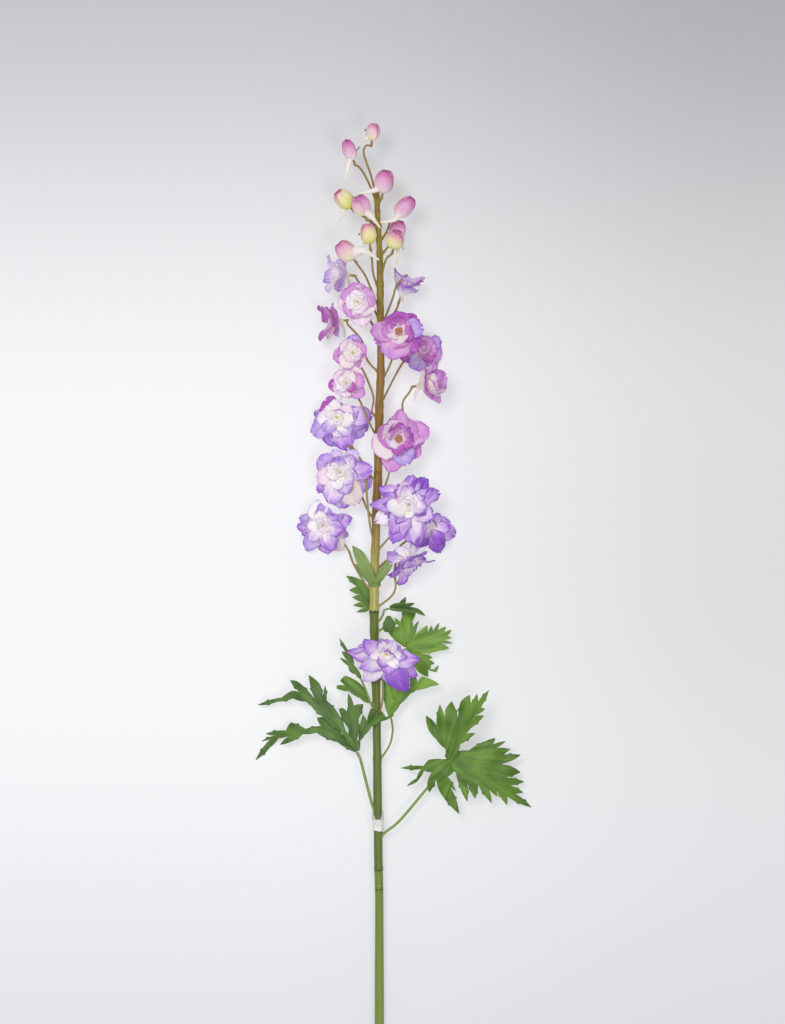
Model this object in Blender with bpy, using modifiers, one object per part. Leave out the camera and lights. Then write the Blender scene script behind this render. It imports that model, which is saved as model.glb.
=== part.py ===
"""Delphinium flower spike, cut and lying on its back on a flat surface.

The plant's own frame is used for every table: millimetres, x across the
stem, y along it from the cut end to the tip, z up from the surface that
the spike lies on. The flowers hold the upper stem clear of the surface.
"""
import math
import random

import bmesh
import bpy
from mathutils import Matrix, Vector
from mathutils.bvhtree import BVHTree
from mathutils.geometry import delaunay_2d_cdt

MM = 0.001

# The three lengths of stem, along the plant
CUT_END = 0.0
SLEEVE_SEAM = 266.0
COLLAR_SEAM = 486.0
STEM_TIP = 843.0
STEM_REST = 3.8
STEM_SLOPE = 0.026

# Plug and socket that join one length of stem to the next
PLUG_RADIUS = 2.1
PLUG_LENGTH = 12.0
FIT_GAP = 0.3
SOCKET_EXTRA = 0.6

# Thickness of the blades and the clearance that neighbours keep
PETAL_THICK = 0.62
LEAF_THICK = 0.8
CLEARANCE = 0.45

# Stalks
PEDICEL_RADIUS = 0.85
PETIOLE_RADIUS = 1.15
KNOB_SWELL = 1.45

# Flower core, which every petal springs from
CORE_RADIUS = 1.5
CORE_TOP_RADIUS = 2.3
CORE_HEIGHT = 7.4
LOW_WHORL = 2.4
MID_WHORL = 4.0
TOP_WHORL = 6.2
SPUR_RADIUS = 1.5
SPUR_LENGTH = 15.0
HEART_PETALS = 4

# Soft band round the middle stem
BAND_START = 299.5
BAND_END = 313.0
BAND_WALL = 0.9

# Stem centre across the plant at points along it, and its radius there
STEM_BOW = [
    (0, 0.0), (237, 0.0), (290, -1.0), (358, -1.7), (384, -2.1), (486, -4.4),
    (517, -4.0), (564, -2.7), (612, -0.9), (656, 0.0), (694, 1.3), (740, 1.0),
    (775, 0.7), (843, -1.9),
]
STEM_RADIUS = [
    (0, 4.0), (145, 4.0), (237, 3.6), (266, 3.7), (330, 3.75), (384, 3.5),
    (470, 3.75), (486, 3.9), (500, 3.8), (545, 3.6), (656, 3.55), (694, 3.2),
    (738, 2.75), (775, 2.9), (805, 2.3), (843, 2.1),
]

# Colours as seen, in the usual display values
VIOLET = (152, 116, 176)
LILAC = (196, 160, 200)
MAGENTA = (180, 112, 178)
PALE = (214, 190, 216)
CREAM = (232, 224, 214)
BUD_PINK = (205, 150, 180)
STEM_BROWN = (128, 108, 52)
STEM_GREEN = (112, 122, 66)
STEM_LOW = (112, 124, 68)
BAND_WHITE = (226, 228, 226)
LEAF_LIGHT = (118, 158, 66)
LEAF_DEEP = (88, 122, 52)
BRACT_GREEN = (140, 160, 98)


def interpolate(table, at):
    """Value of a table of (place, value) pairs, eased between its places."""
    for (x0, v0), (x1, v1) in zip(table, table[1:]):
        if at <= x1:
            t = min(max((at - x0) / (x1 - x0), 0.0), 1.0)
            t = t * t * (3.0 - 2.0 * t)
            return v0 + (v1 - v0) * t
    return table[-1][1]


def stem_point(along):
    """Centre of the stem at a length along the plant."""
    rise = STEM_REST + STEM_SLOPE * along
    return Vector((interpolate(STEM_BOW, along), along, rise))


def above_stem(point):
    """Plant point from a table, whose height is over the stem's centre."""
    x, y, height = point
    return Vector((x, y, STEM_REST + STEM_SLOPE * y + height))


def smooth_path(points, step):
    """Points about a step apart on a smooth curve through the given ones."""
    pts = [Vector(p) for p in points]
    ends = [2 * pts[0] - pts[1]] + pts + [2 * pts[-1] - pts[-2]]
    path = [pts[0]]
    for i in range(1, len(ends) - 2):
        p0, p1, p2, p3 = ends[i - 1:i + 3]
        count = max(1, round((p2 - p1).length / step))
        for k in range(1, count + 1):
            t = k / count
            a = 2 * p1 + (p2 - p0) * t
            b = (2 * p0 - 5 * p1 + 4 * p2 - p3) * t * t
            c = (3 * p1 - p0 - 3 * p2 + p3) * t * t * t
            path.append((a + b + c) * 0.5)
    return path


# Scene and materials

def start_clean():
    """Remove the objects that the scene holds."""
    for obj in list(bpy.data.objects):
        bpy.data.objects.remove(obj, do_unlink=True)


def linear(value):
    """Display value from 0 to 255 as a linear one."""
    c = value / 255.0
    return c / 12.92 if c <= 0.04045 else ((c + 0.055) / 1.055) ** 2.4


def plain_material(name, colour, roughness):
    """Principled material of one colour."""
    mat = bpy.data.materials.new(name)
    mat.use_nodes = True
    shader = mat.node_tree.nodes["Principled BSDF"]
    shader.inputs["Base Color"].default_value = (*[linear(c) for c in colour], 1.0)
    shader.inputs["Roughness"].default_value = roughness
    shader.inputs["Metallic"].default_value = 0.0
    mat.diffuse_color = (*[linear(c) for c in colour], 1.0)
    return mat


class Workshop:
    """Holds the collections and what has been placed so far."""

    def __init__(self, name):
        self.parts = bpy.data.collections.new(name)
        bpy.context.scene.collection.children.link(self.parts)
        self.tools = bpy.data.collections.new(name + "_cutters")
        bpy.context.scene.collection.children.link(self.tools)
        self.placed = []
        self.nodes = []

    def keep(self, obj, colour, roughness=0.5):
        """Move a finished object into the part and remember its surface."""
        for coll in list(obj.users_collection):
            coll.objects.unlink(obj)
        self.parts.objects.link(obj)
        obj.data.materials.clear()
        obj.data.materials.append(plain_material(obj.name, colour, roughness))
        obj.data.shade_smooth()
        obj.data.set_sharp_from_angle(angle=math.radians(40))
        self.nodes.append(obj)
        self.placed.append(surface_tree(obj))
        return obj

    def is_clear(self, verts, faces):
        """True where a thickened blade touches nothing placed so far."""
        shell = thick_shell(verts, faces, PETAL_THICK / 2 + CLEARANCE)
        return not any(tree.overlap(shell) for tree in self.placed)


def surface_tree(obj):
    """Search tree of an object's surface, in plant millimetres."""
    verts = [v.co / MM for v in obj.data.vertices]
    faces = [tuple(p.vertices) for p in obj.data.polygons]
    return BVHTree.FromPolygons(verts, faces)


def thick_shell(verts, faces, half):
    """Search tree of an open surface with both of its sides moved out."""
    normals = [Vector() for _ in verts]
    for face in faces:
        a, b, c = [verts[i] for i in face[:3]]
        n = (b - a).cross(c - a)
        for i in face:
            normals[i] += n
    upper = [v + n.normalized() * half for v, n in zip(verts, normals)]
    lower = [v - n.normalized() * half for v, n in zip(verts, normals)]
    count = len(verts)
    both = list(faces) + [tuple(i + count for i in f) for f in faces]
    return BVHTree.FromPolygons(upper + lower, both)


# Meshes

def mesh_object(shop, name, verts, faces):
    """Object from plant millimetres, in the collection of tools."""
    mesh = bpy.data.meshes.new(name)
    mesh.from_pydata([Vector(v) * MM for v in verts], [], faces)
    obj = bpy.data.objects.new(name, mesh)
    shop.tools.objects.link(obj)
    return obj


def evaluated_mesh(obj):
    """Mesh of an object with its modifiers applied."""
    depsgraph = bpy.context.evaluated_depsgraph_get()
    depsgraph.update()
    return bpy.data.meshes.new_from_object(obj.evaluated_get(depsgraph))


def apply_modifiers(obj):
    """Put the evaluated mesh in the place of the object's own."""
    mesh = evaluated_mesh(obj)
    old = obj.data
    obj.modifiers.clear()
    obj.data = mesh
    bpy.data.meshes.remove(old)


def tube(shop, name, points, radii, resolution=1):
    """Closed tube through plant points with a radius at each."""
    curve = bpy.data.curves.new(name, "CURVE")
    curve.dimensions = "3D"
    curve.bevel_depth = MM
    curve.bevel_resolution = resolution
    curve.use_fill_caps = True
    spline = curve.splines.new("POLY")
    spline.points.add(len(points) - 1)
    for point, place, radius in zip(spline.points, points, radii):
        point.co = (*(Vector(place) * MM), 1.0)
        point.radius = radius
    source = bpy.data.objects.new(name + "_line", curve)
    shop.tools.objects.link(source)
    mesh = evaluated_mesh(source)
    obj = bpy.data.objects.new(name, mesh)
    obj.matrix_world = source.matrix_world
    shop.tools.objects.link(obj)
    bpy.data.objects.remove(source, do_unlink=True)
    tidy_mesh(obj)
    return obj


def tidy_mesh(obj):
    """Weld the caps, and turn the faces outward."""
    bm = bmesh.new()
    bm.from_mesh(obj.data)
    bmesh.ops.remove_doubles(bm, verts=bm.verts, dist=0.002 * MM)
    bmesh.ops.recalc_face_normals(bm, faces=bm.faces)
    bm.to_mesh(obj.data)
    bm.free()


def solid_blade(shop, name, verts, faces, thickness):
    """Thin solid from an open surface of triangles."""
    obj = mesh_object(shop, name, verts, faces)
    skin = obj.modifiers.new("thickness", "SOLIDIFY")
    skin.thickness = thickness * MM
    skin.offset = 0.0
    apply_modifiers(obj)
    return obj


def boolean(obj, operation, operand=None, collection=None):
    """Cut or join an object, and apply it at once."""
    mod = obj.modifiers.new("shape", "BOOLEAN")
    mod.operation = operation
    mod.solver = "MANIFOLD"
    if collection is None:
        mod.object = operand
    else:
        mod.operand_type = "COLLECTION"
        mod.collection = collection
    apply_modifiers(obj)


def fuse(shop, name, pieces):
    """One body from pieces that cross each other."""
    body = pieces[0]
    body.name = name
    if len(pieces) > 1:
        heap = bpy.data.collections.new(name + "_pieces")
        bpy.context.scene.collection.children.link(heap)
        for piece in pieces[1:]:
            shop.tools.objects.unlink(piece)
            heap.objects.link(piece)
        boolean(body, "UNION", collection=heap)
        for piece in pieces[1:]:
            bpy.data.objects.remove(piece, do_unlink=True)
        bpy.data.collections.remove(heap)
    keep_outer_shell(body)
    return body


def keep_outer_shell(obj):
    """Fill sealed hollows and drop scraps: only the largest shell stays."""
    bm = bmesh.new()
    bm.from_mesh(obj.data)
    bm.faces.ensure_lookup_table()
    seen = set()
    shells = []
    for start in bm.faces:
        if start.index in seen:
            continue
        stack = [start]
        seen.add(start.index)
        shell = []
        while stack:
            face = stack.pop()
            shell.append(face)
            for edge in face.edges:
                for other in edge.link_faces:
                    if other.index not in seen:
                        seen.add(other.index)
                        stack.append(other)
        shells.append(shell)
    shells.sort(key=lambda s: -sum(f.calc_area() for f in s))
    for shell in shells[1:]:
        bmesh.ops.delete(bm, geom=shell, context="FACES")
    bm.to_mesh(obj.data)
    bm.free()


def cut(obj, cutter):
    """Cut one object out of another and remove the cutter."""
    boolean(obj, "DIFFERENCE", operand=cutter)
    bpy.data.objects.remove(cutter, do_unlink=True)


# Stem

def stem_stretch(start, end, step=22.0):
    """Centre points and radii of the stem between two lengths."""
    count = max(2, round((end - start) / step))
    places = [start + (end - start) * i / count for i in range(count + 1)]
    return [stem_point(a) for a in places], [interpolate(STEM_RADIUS, a) for a in places]


def plug(shop, name, seam, extra, radius):
    """Round peg from inside the upper stem down past a seam."""
    points = [stem_point(seam + 6.0), stem_point(seam - extra)]
    return tube(shop, name, points, [radius, radius], resolution=2)


def stalk(shop, name, root, route, end, facing, radius):
    """Stalk from the stem to the back of what it carries."""
    tip = above_stem(end) - Vector(facing).normalized() * FIT_GAP
    neck = tip - Vector(facing).normalized() * 4.5
    way = [stem_point(root)] + [above_stem(p) for p in route] + [neck]
    path = smooth_path(way, 14.0) + [tip]
    radii = [radius * 1.25] + [radius] * (len(path) - 3) + [radius * KNOB_SWELL, radius]
    return tube(shop, name, path, radii)


def lower_stem(shop):
    """Bare stem from the cut end up to the sleeve."""
    points, radii = stem_stretch(CUT_END, SLEEVE_SEAM - FIT_GAP, 40.0)
    body = tube(shop, "lower_stem", points, radii, resolution=3)
    peg = [stem_point(SLEEVE_SEAM - 8.0), stem_point(SLEEVE_SEAM + PLUG_LENGTH)]
    pieces = [body, tube(shop, "lower_peg", peg, [PLUG_RADIUS] * 2, resolution=2)]
    shop.keep(fuse(shop, "lower_stem", pieces), STEM_LOW, 0.5)


def middle_stem(shop, petioles):
    """Leafy length: a socket at each end, and the leaf stalks."""
    points, radii = stem_stretch(SLEEVE_SEAM, COLLAR_SEAM - FIT_GAP)
    radii[0] += 0.7
    pieces = [tube(shop, "middle_stem", points, radii, resolution=3)]
    pieces += petioles
    body = fuse(shop, "middle_stem", pieces)
    bore = PLUG_RADIUS + FIT_GAP
    depth = PLUG_LENGTH + SOCKET_EXTRA
    low = [stem_point(SLEEVE_SEAM - 2.0), stem_point(SLEEVE_SEAM + depth)]
    high = [stem_point(COLLAR_SEAM - depth), stem_point(COLLAR_SEAM + 2.0)]
    for line in (low, high):
        cut(body, tube(shop, "socket", line, [bore, bore], resolution=2))
    shop.keep(body, STEM_GREEN, 0.5)


def upper_stem(shop, pedicels):
    """Flowering length with its stalks fused on."""
    points, radii = stem_stretch(COLLAR_SEAM, STEM_TIP)
    radii[-1] *= 0.8
    pieces = [tube(shop, "upper_stem", points, radii, resolution=2)]
    pieces.append(plug(shop, "upper_peg", COLLAR_SEAM, PLUG_LENGTH, PLUG_RADIUS))
    pieces += pedicels
    shop.keep(fuse(shop, "upper_stem", pieces), STEM_BROWN, 0.5)


def wrap_band(shop):
    """Soft clear band taped round the stem below the first leaf."""
    inner = interpolate(STEM_RADIUS, BAND_START) + FIT_GAP + 0.25
    line = [stem_point(BAND_START), stem_point(BAND_END)]
    beyond = [stem_point(BAND_START - 3.0), stem_point(BAND_END + 3.0)]
    band = tube(shop, "wrap_band", line, [inner + BAND_WALL] * 2, resolution=3)
    cut(band, tube(shop, "band_bore", beyond, [inner] * 2, resolution=3))
    keep_outer_shell(band)
    shop.keep(band, BAND_WHITE, 0.35)


# Petals

ROUND_HALF = [(0.0, 0.1), (0.35, 0.62), (0.7, 1.0), (0.9, 0.78), (1.0, 0.0)]
POINTED_HALF = [(0.0, 0.14), (0.35, 0.78), (0.62, 1.0), (0.85, 0.6), (1.0, 0.0)]


class Petal:
    """A cupped blade: its midrib leaves the axis at a changing angle."""

    def __init__(self, azimuth, length, width, start=1.8, height=4.6, open_base=65.0,
                 open_tip=92.0, cup=0.22, ruffle=0.5, pointed=False, phase=0.0):
        self.azimuth = azimuth
        self.length = length
        self.width = width
        self.start = start
        self.height = height
        self.open_base = open_base
        self.open_tip = open_tip
        self.cup = cup
        self.ruffle = ruffle
        self.pointed = pointed
        self.phase = phase

    def varied(self, bend, scale):
        """The same petal bent back or forward, and shortened."""
        args = dict(self.__dict__)
        args["open_base"] = self.open_base + bend * 0.6
        args["open_tip"] = self.open_tip + bend * 1.3
        args["length"] = self.length * scale
        return Petal(**args)

    def point(self, u, v):
        """Place on the petal: u from base to tip, v from edge to edge."""
        steps = 12
        out, up = self.start, self.height
        angle = math.radians(self.open_base)
        for i in range(steps):
            t = u * (i + 0.5) / steps
            angle = math.radians(self.open_base + (self.open_tip - self.open_base) * t)
            out += math.sin(angle) * u * self.length / steps
            up += math.cos(angle) * u * self.length / steps
        table = POINTED_HALF if self.pointed else ROUND_HALF
        half = interpolate(table, u) * self.width / 2
        lift = self.cup * half * v * v
        lift += self.ruffle * u * u * math.sin(self.phase + 2.6 * v + 4.0 * u)
        out -= math.cos(angle) * lift
        up += math.sin(angle) * lift
        turn = math.radians(self.azimuth)
        x = math.cos(turn) * out - math.sin(turn) * v * half
        y = math.sin(turn) * out + math.cos(turn) * v * half
        return Vector((x, y, up))

    def surface(self, rows, columns):
        """Vertices and triangles of the petal, with one vertex at the tip."""
        verts = [self.point(u, v) for u in rows[:-1] for v in columns]
        verts.append(self.point(1.0, 0.0))
        wide = len(columns)
        faces = []
        for r in range(len(rows) - 2):
            for c in range(wide - 1):
                a = r * wide + c
                b, d = a + 1, a + wide
                if c < (wide - 1) / 2:
                    faces += [(a, b, d), (b, d + 1, d)]
                else:
                    faces += [(a, b, d + 1), (a, d + 1, d)]
        last = (len(rows) - 2) * wide
        for c in range(wide - 1):
            faces.append((last + c, last + c + 1, len(verts) - 1))
        return verts, faces


OUTER_ROWS = (0.0, 0.42, 0.8, 1.0)
INNER_ROWS = (0.0, 0.6, 1.0)
SHORT_ROWS = (0.0, 0.66, 1.0)
COLUMNS = (-1.0, 0.0, 1.0)


def lay_on_surface(verts):
    """A petal that reaches the surface lies flat along it."""
    floor = PETAL_THICK / 2
    return [Vector((v.x, v.y, max(v.z, floor))) for v in verts]


def flower_frame(base, facing):
    """Matrix that stands a flower on its base with its axis along facing."""
    turn = Vector((0, 0, 1)).rotation_difference(Vector(facing).normalized())
    return Matrix.Translation(Vector(base)) @ turn.to_matrix().to_4x4()


BENDS = (0, -9, 9, -18, 18, -27, 27, -38, 38, -50, 50, -64, 64)
SHORTER = (1.0, 0.85, 0.7, 0.55)


def fitted_surface(shop, petal, frame, rows):
    """The petal's surface, bent clear of what is already in place."""
    for scale in SHORTER:
        for bend in BENDS:
            trial = petal.varied(bend, scale)
            verts, faces = trial.surface(rows, COLUMNS)
            verts = lay_on_surface([frame @ v for v in verts])
            if shop.is_clear(verts, faces):
                return verts, faces
    return None


def flower_core(shop, name, frame, height=CORE_HEIGHT):
    """Small cup behind the petals, flat where its stalk meets it."""
    mesh = bpy.data.meshes.new(name)
    bm = bmesh.new()
    bmesh.ops.create_cone(bm, cap_ends=True, segments=6, radius1=CORE_RADIUS * MM,
                          radius2=CORE_TOP_RADIUS * MM, depth=height * MM)
    bmesh.ops.translate(bm, verts=bm.verts, vec=(0, 0, height / 2 * MM))
    place = frame.copy()
    place.translation = frame.translation * MM
    bmesh.ops.transform(bm, matrix=place, verts=bm.verts)
    bm.to_mesh(mesh)
    bm.free()
    obj = bpy.data.objects.new(name, mesh)
    shop.tools.objects.link(obj)
    return obj


def flower_spur(shop, name, frame, azimuth, length=SPUR_LENGTH):
    """Hollow-looking horn that trails from the back of a flower."""
    for step in range(12):
        turn = math.radians(azimuth + step * 30.0)
        out = Vector((math.cos(turn), math.sin(turn), 0.0))
        local = [Vector((0, 0, 3.2)), out * length * 0.5 + Vector((0, 0, -1.0)),
                 out * length + Vector((0, 0, -2.0))]
        path = [frame @ p for p in local]
        radii = [1.7, SPUR_RADIUS * 0.85, 0.45]
        lowest = min(p.z for p in path)
        horn = tube(shop, name, path, radii, resolution=1)
        tree = surface_tree(horn)
        if lowest > 2.0 and not any(t.overlap(tree) for t in shop.placed):
            return horn
        bpy.data.objects.remove(horn, do_unlink=True)
    return None


def build_bloom(shop, spec):
    """One floret: its heart, its two whorls of petals, cup and spur."""
    name = spec["name"]
    rng = random.Random(name)
    frame = flower_frame(above_stem(spec["base"]), spec["facing"])
    pointed = spec.get("pointed", False)
    open_base, open_tip = spec.get("opening", (66.0, 94.0))
    ratio = spec.get("ratio", 0.5 if pointed else 0.72)
    if spec.get("heart", True):
        build_heart(shop, name + "_heart", frame, spec, rng)
    pieces = [flower_core(shop, name, frame)]
    spur = flower_spur(shop, name + "_spur", frame, spec.get("spur", 250.0))
    if spur:
        pieces.append(spur)
    rows = spec.get("rows", OUTER_ROWS)
    for i, (azimuth, length) in enumerate(sorted(spec["petals"], key=lambda p: p[0] % 360)):
        tilt, cup, height = (7.0, 0.06, LOW_WHORL) if i % 2 else (-7.0, 0.2, MID_WHORL)
        petal = Petal(azimuth, length - 1.0, max(length * ratio, 9.0), height=height,
                      open_base=open_base + tilt, open_tip=open_tip + tilt,
                      cup=cup, pointed=pointed, phase=rng.uniform(0, 6.28))
        found = fitted_surface(shop, petal, frame, rows)
        if found:
            pieces.append(solid_blade(shop, f"{name}_{i}", *found, PETAL_THICK))
    count = spec.get("inner", 4)
    reach = spec.get("inner_length", 0.62) * sum(p[1] for p in spec["petals"]) / len(spec["petals"])
    first = rng.uniform(0, 72)
    for i in range(count):
        petal = Petal(first + i * 360.0 / count + rng.uniform(-8, 8), reach * rng.uniform(0.9, 1.1),
                      reach * ratio, height=TOP_WHORL, open_base=open_base - 22.0,
                      open_tip=open_tip - 26.0, pointed=pointed, phase=rng.uniform(0, 6.28))
        found = fitted_surface(shop, petal, frame, INNER_ROWS)
        if found:
            pieces.append(solid_blade(shop, f"{name}_in{i}", *found, PETAL_THICK))
    shop.keep(fuse(shop, name, pieces), spec["colour"], 0.6)


def build_heart(shop, name, frame, spec, rng):
    """White cup of short pointed petals in the middle of a floret."""
    seat = frame @ Matrix.Translation((0, 0, CORE_HEIGHT + FIT_GAP + PETAL_THICK / 2))
    length = spec.get("heart_length", 8.0)
    spread = math.radians(spec.get("heart_open", 46.0))
    first = rng.uniform(0, 72)
    rings = [(1.2, 0.0, 0.0), (length * 0.3, length * 0.34, length * 0.3)]
    count = 2 * HEART_PETALS
    verts = [Vector((0, 0, 0))]
    for out, rise, _ in rings:
        for k in range(count):
            turn = math.radians(first + 360.0 * k / count)
            verts.append(Vector((math.cos(turn) * out, math.sin(turn) * out, rise)))
    for k in range(HEART_PETALS):
        turn = math.radians(first + 360.0 * k / HEART_PETALS)
        out = length * math.sin(spread)
        verts.append(Vector((math.cos(turn) * out, math.sin(turn) * out, length * math.cos(spread) + 1)))
    faces = []
    for k in range(count):
        a, b = 1 + k, 1 + (k + 1) % count
        faces += [(0, a, b), (a, a + count, b), (b, a + count, b + count)]
    for k in range(HEART_PETALS):
        left = 1 + count + (2 * k - 1) % count
        middle = 1 + count + 2 * k
        right = 1 + count + (2 * k + 1) % count
        tip = 1 + 2 * count + k
        faces += [(left, tip, middle), (middle, tip, right)]
    heart = solid_blade(shop, name, [seat @ v for v in verts], faces, PETAL_THICK)
    shop.keep(heart, spec.get("heart_colour", CREAM), 0.6)


# Buds

def build_bud(shop, spec):
    """A closed bud on its stalk, with the horn that it trails."""
    name = spec["name"]
    base, tip = above_stem(spec["base"]), above_stem(spec["tip"])
    axis = (tip - base).normalized()
    half_length = (tip - base).length / 2
    frame = flower_frame((base + tip) / 2, axis)
    mesh = bpy.data.meshes.new(name)
    bm = bmesh.new()
    bmesh.ops.create_uvsphere(bm, u_segments=7, v_segments=6, radius=MM)
    width = spec["width"] / 2
    for v in bm.verts:
        z = v.co.z / MM
        waist = 1.0 - 0.16 * z
        v.co = Vector((v.co.x * width * waist, v.co.y * width * waist, v.co.z * half_length))
    place = frame.copy()
    place.translation = frame.translation * MM
    bmesh.ops.transform(bm, matrix=place, verts=bm.verts)
    bm.to_mesh(mesh)
    bm.free()
    body = bpy.data.objects.new(name, mesh)
    shop.tools.objects.link(body)
    horn = [above_stem(p) for p in spec["spur"]]
    path = smooth_path([(base * 0.6 + tip * 0.4)] + horn, 12.0)
    last = len(path) - 1
    radii = [2.4 - 1.8 * i / last for i in range(last + 1)]
    pieces = [body, tube(shop, name + "_spur", path, radii)]
    shop.keep(fuse(shop, name, pieces), spec["colour"], 0.5)


# Leaves

def leaf_lobe(shop, name, lobe):
    """A cut blade: an outline, arched along its midrib and folded on it."""
    outline = [Vector(p) for p in lobe["outline"]]
    start, end = [Vector(p) for p in lobe["rib"]]
    along = (end - start)
    reach = along.length
    along.normalize()
    across = Vector((-along.y, along.x))
    inner = [start + (end - start) * t for t in (0.3, 0.55, 0.8)]
    flat = outline + inner
    ring = [list(range(len(outline)))]
    verts, _, faces, *_ = delaunay_2d_cdt(flat, [], ring, 1, 0.01)
    level = stem_point(start.y).z
    z0, z1 = [level + h for h in lobe["heights"]]
    solid = []
    for v in verts:
        s = (v - start).dot(along) / reach
        d = (v - start).dot(across)
        t = min(max(s, 0.0), 1.15)
        z = z0 + (z1 - z0) * t * t + 4.0 * lobe["arch"] * t * (1.0 - t)
        z += lobe["fold"] * abs(d) + lobe.get("twist", 0.0) * d * t
        solid.append(Vector((v.x, v.y, max(z, LEAF_THICK / 2 + 0.5))))
    return solid_blade(shop, name, solid, [tuple(f) for f in faces], LEAF_THICK)


def build_leaf(shop, name, lobes, colour):
    """The lobes of one leaf, joined where they meet."""
    pieces = [leaf_lobe(shop, f"{name}_{i}", lobe) for i, lobe in enumerate(lobes)]
    shop.keep(fuse(shop, name, pieces), colour, 0.55)


# Tables of the plant: where each stalk leaves the stem, and what it carries

PEDICELS = {
    "bloom_01": (733, [(-15, 762, 1.5)]),
    "bloom_02": (717, [(-9, 736, -2.5)]),
    "bloom_03": (688, [(-10, 700, -5), (-15, 717, -10), (-27, 731, -10.5)]),
    "bloom_04": (722, [(14, 742, 0)]),
    "bloom_05": (679, [(10, 698, -1), (13, 712, 1.5)]),
    "bloom_06": (659, [(7, 674, -6), (20, 698, -18.5)]),
    "bloom_07": (620, [(8, 632, 1.5), (16, 643, 8), (20, 653, 13), (20, 664, 11.5), (26, 673, 8)]),
    "bloom_08": (650, [(-6, 656, -3.5), (-5, 669, -7), (-12, 688, -8.5), (-18, 698, -8)]),
    "bloom_09": (632, [(-8, 646, 4), (-14, 660, 0.5), (-18, 668, -3)]),
    "bloom_10": (595, [(-8, 603, 4), (-16, 616, 2.5), (-25, 630, -7.5), (-31, 643, -18)]),
    "bloom_11": (563, [(-9, 571, -1), (-15, 584, -6.5), (-24, 596, -11)]),
    "bloom_12": (500, [(-12, 510, -2.5), (-22, 527, -8), (-28, 541, -12.5)]),
    "bloom_13": (580, [(2, 587, -2.5), (7, 599, -6), (13, 622, -7)]),
    "bloom_14": (536, [(9, 550, 1), (18, 563, -0.5)]),
    "bloom_15": (520, [(6, 530, -4.5), (20, 544, -10), (34, 553, -15.5)]),
    "bloom_16": (488, [(10, 499, 1), (14, 508, 0.5), (13, 522, 1)]),
}
TWIN_STALK = (541, [(-8, 561, 6.5), (-10.5, 586, 5.5), (-12, 602, 6), (-22, 622, 1), (-26, 628, -1)])
BARE_STALK = (726, [(11, 751, 6), (14, 761, 7.5), (19, 768, 8), (24, 772, 9)])
BUD_STALKS = {
    "bud_01": (836, [(-7, 856, 9.5), (-13, 874, 11), (-11, 881, 11.5)]),
    "bud_02": (832, [(-9, 850, 6), (-16, 862, 8.5)]),
    "bud_03": (824, [(0, 832, 8.5)]),
    "bud_04": (812, [(-14, 822, 5)]),
    "bud_05": (812, [(-4, 817, 8)]),
    "bud_06": (800, [(6, 808, 1.5), (9, 816, 4.5)]),
    "bud_07": (754, [(-5, 773, 3), (-6, 784, 4)]),
    "bud_08": (788, [(5, 793, -1), (10, 799, -3)]),
    "bud_09": (762, [(5, 783, 8.5)]),
    "bud_10": (741, [(-9, 765, 11.5), (-13, 773, 15), (-19, 781, 16.5)]),
}

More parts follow.
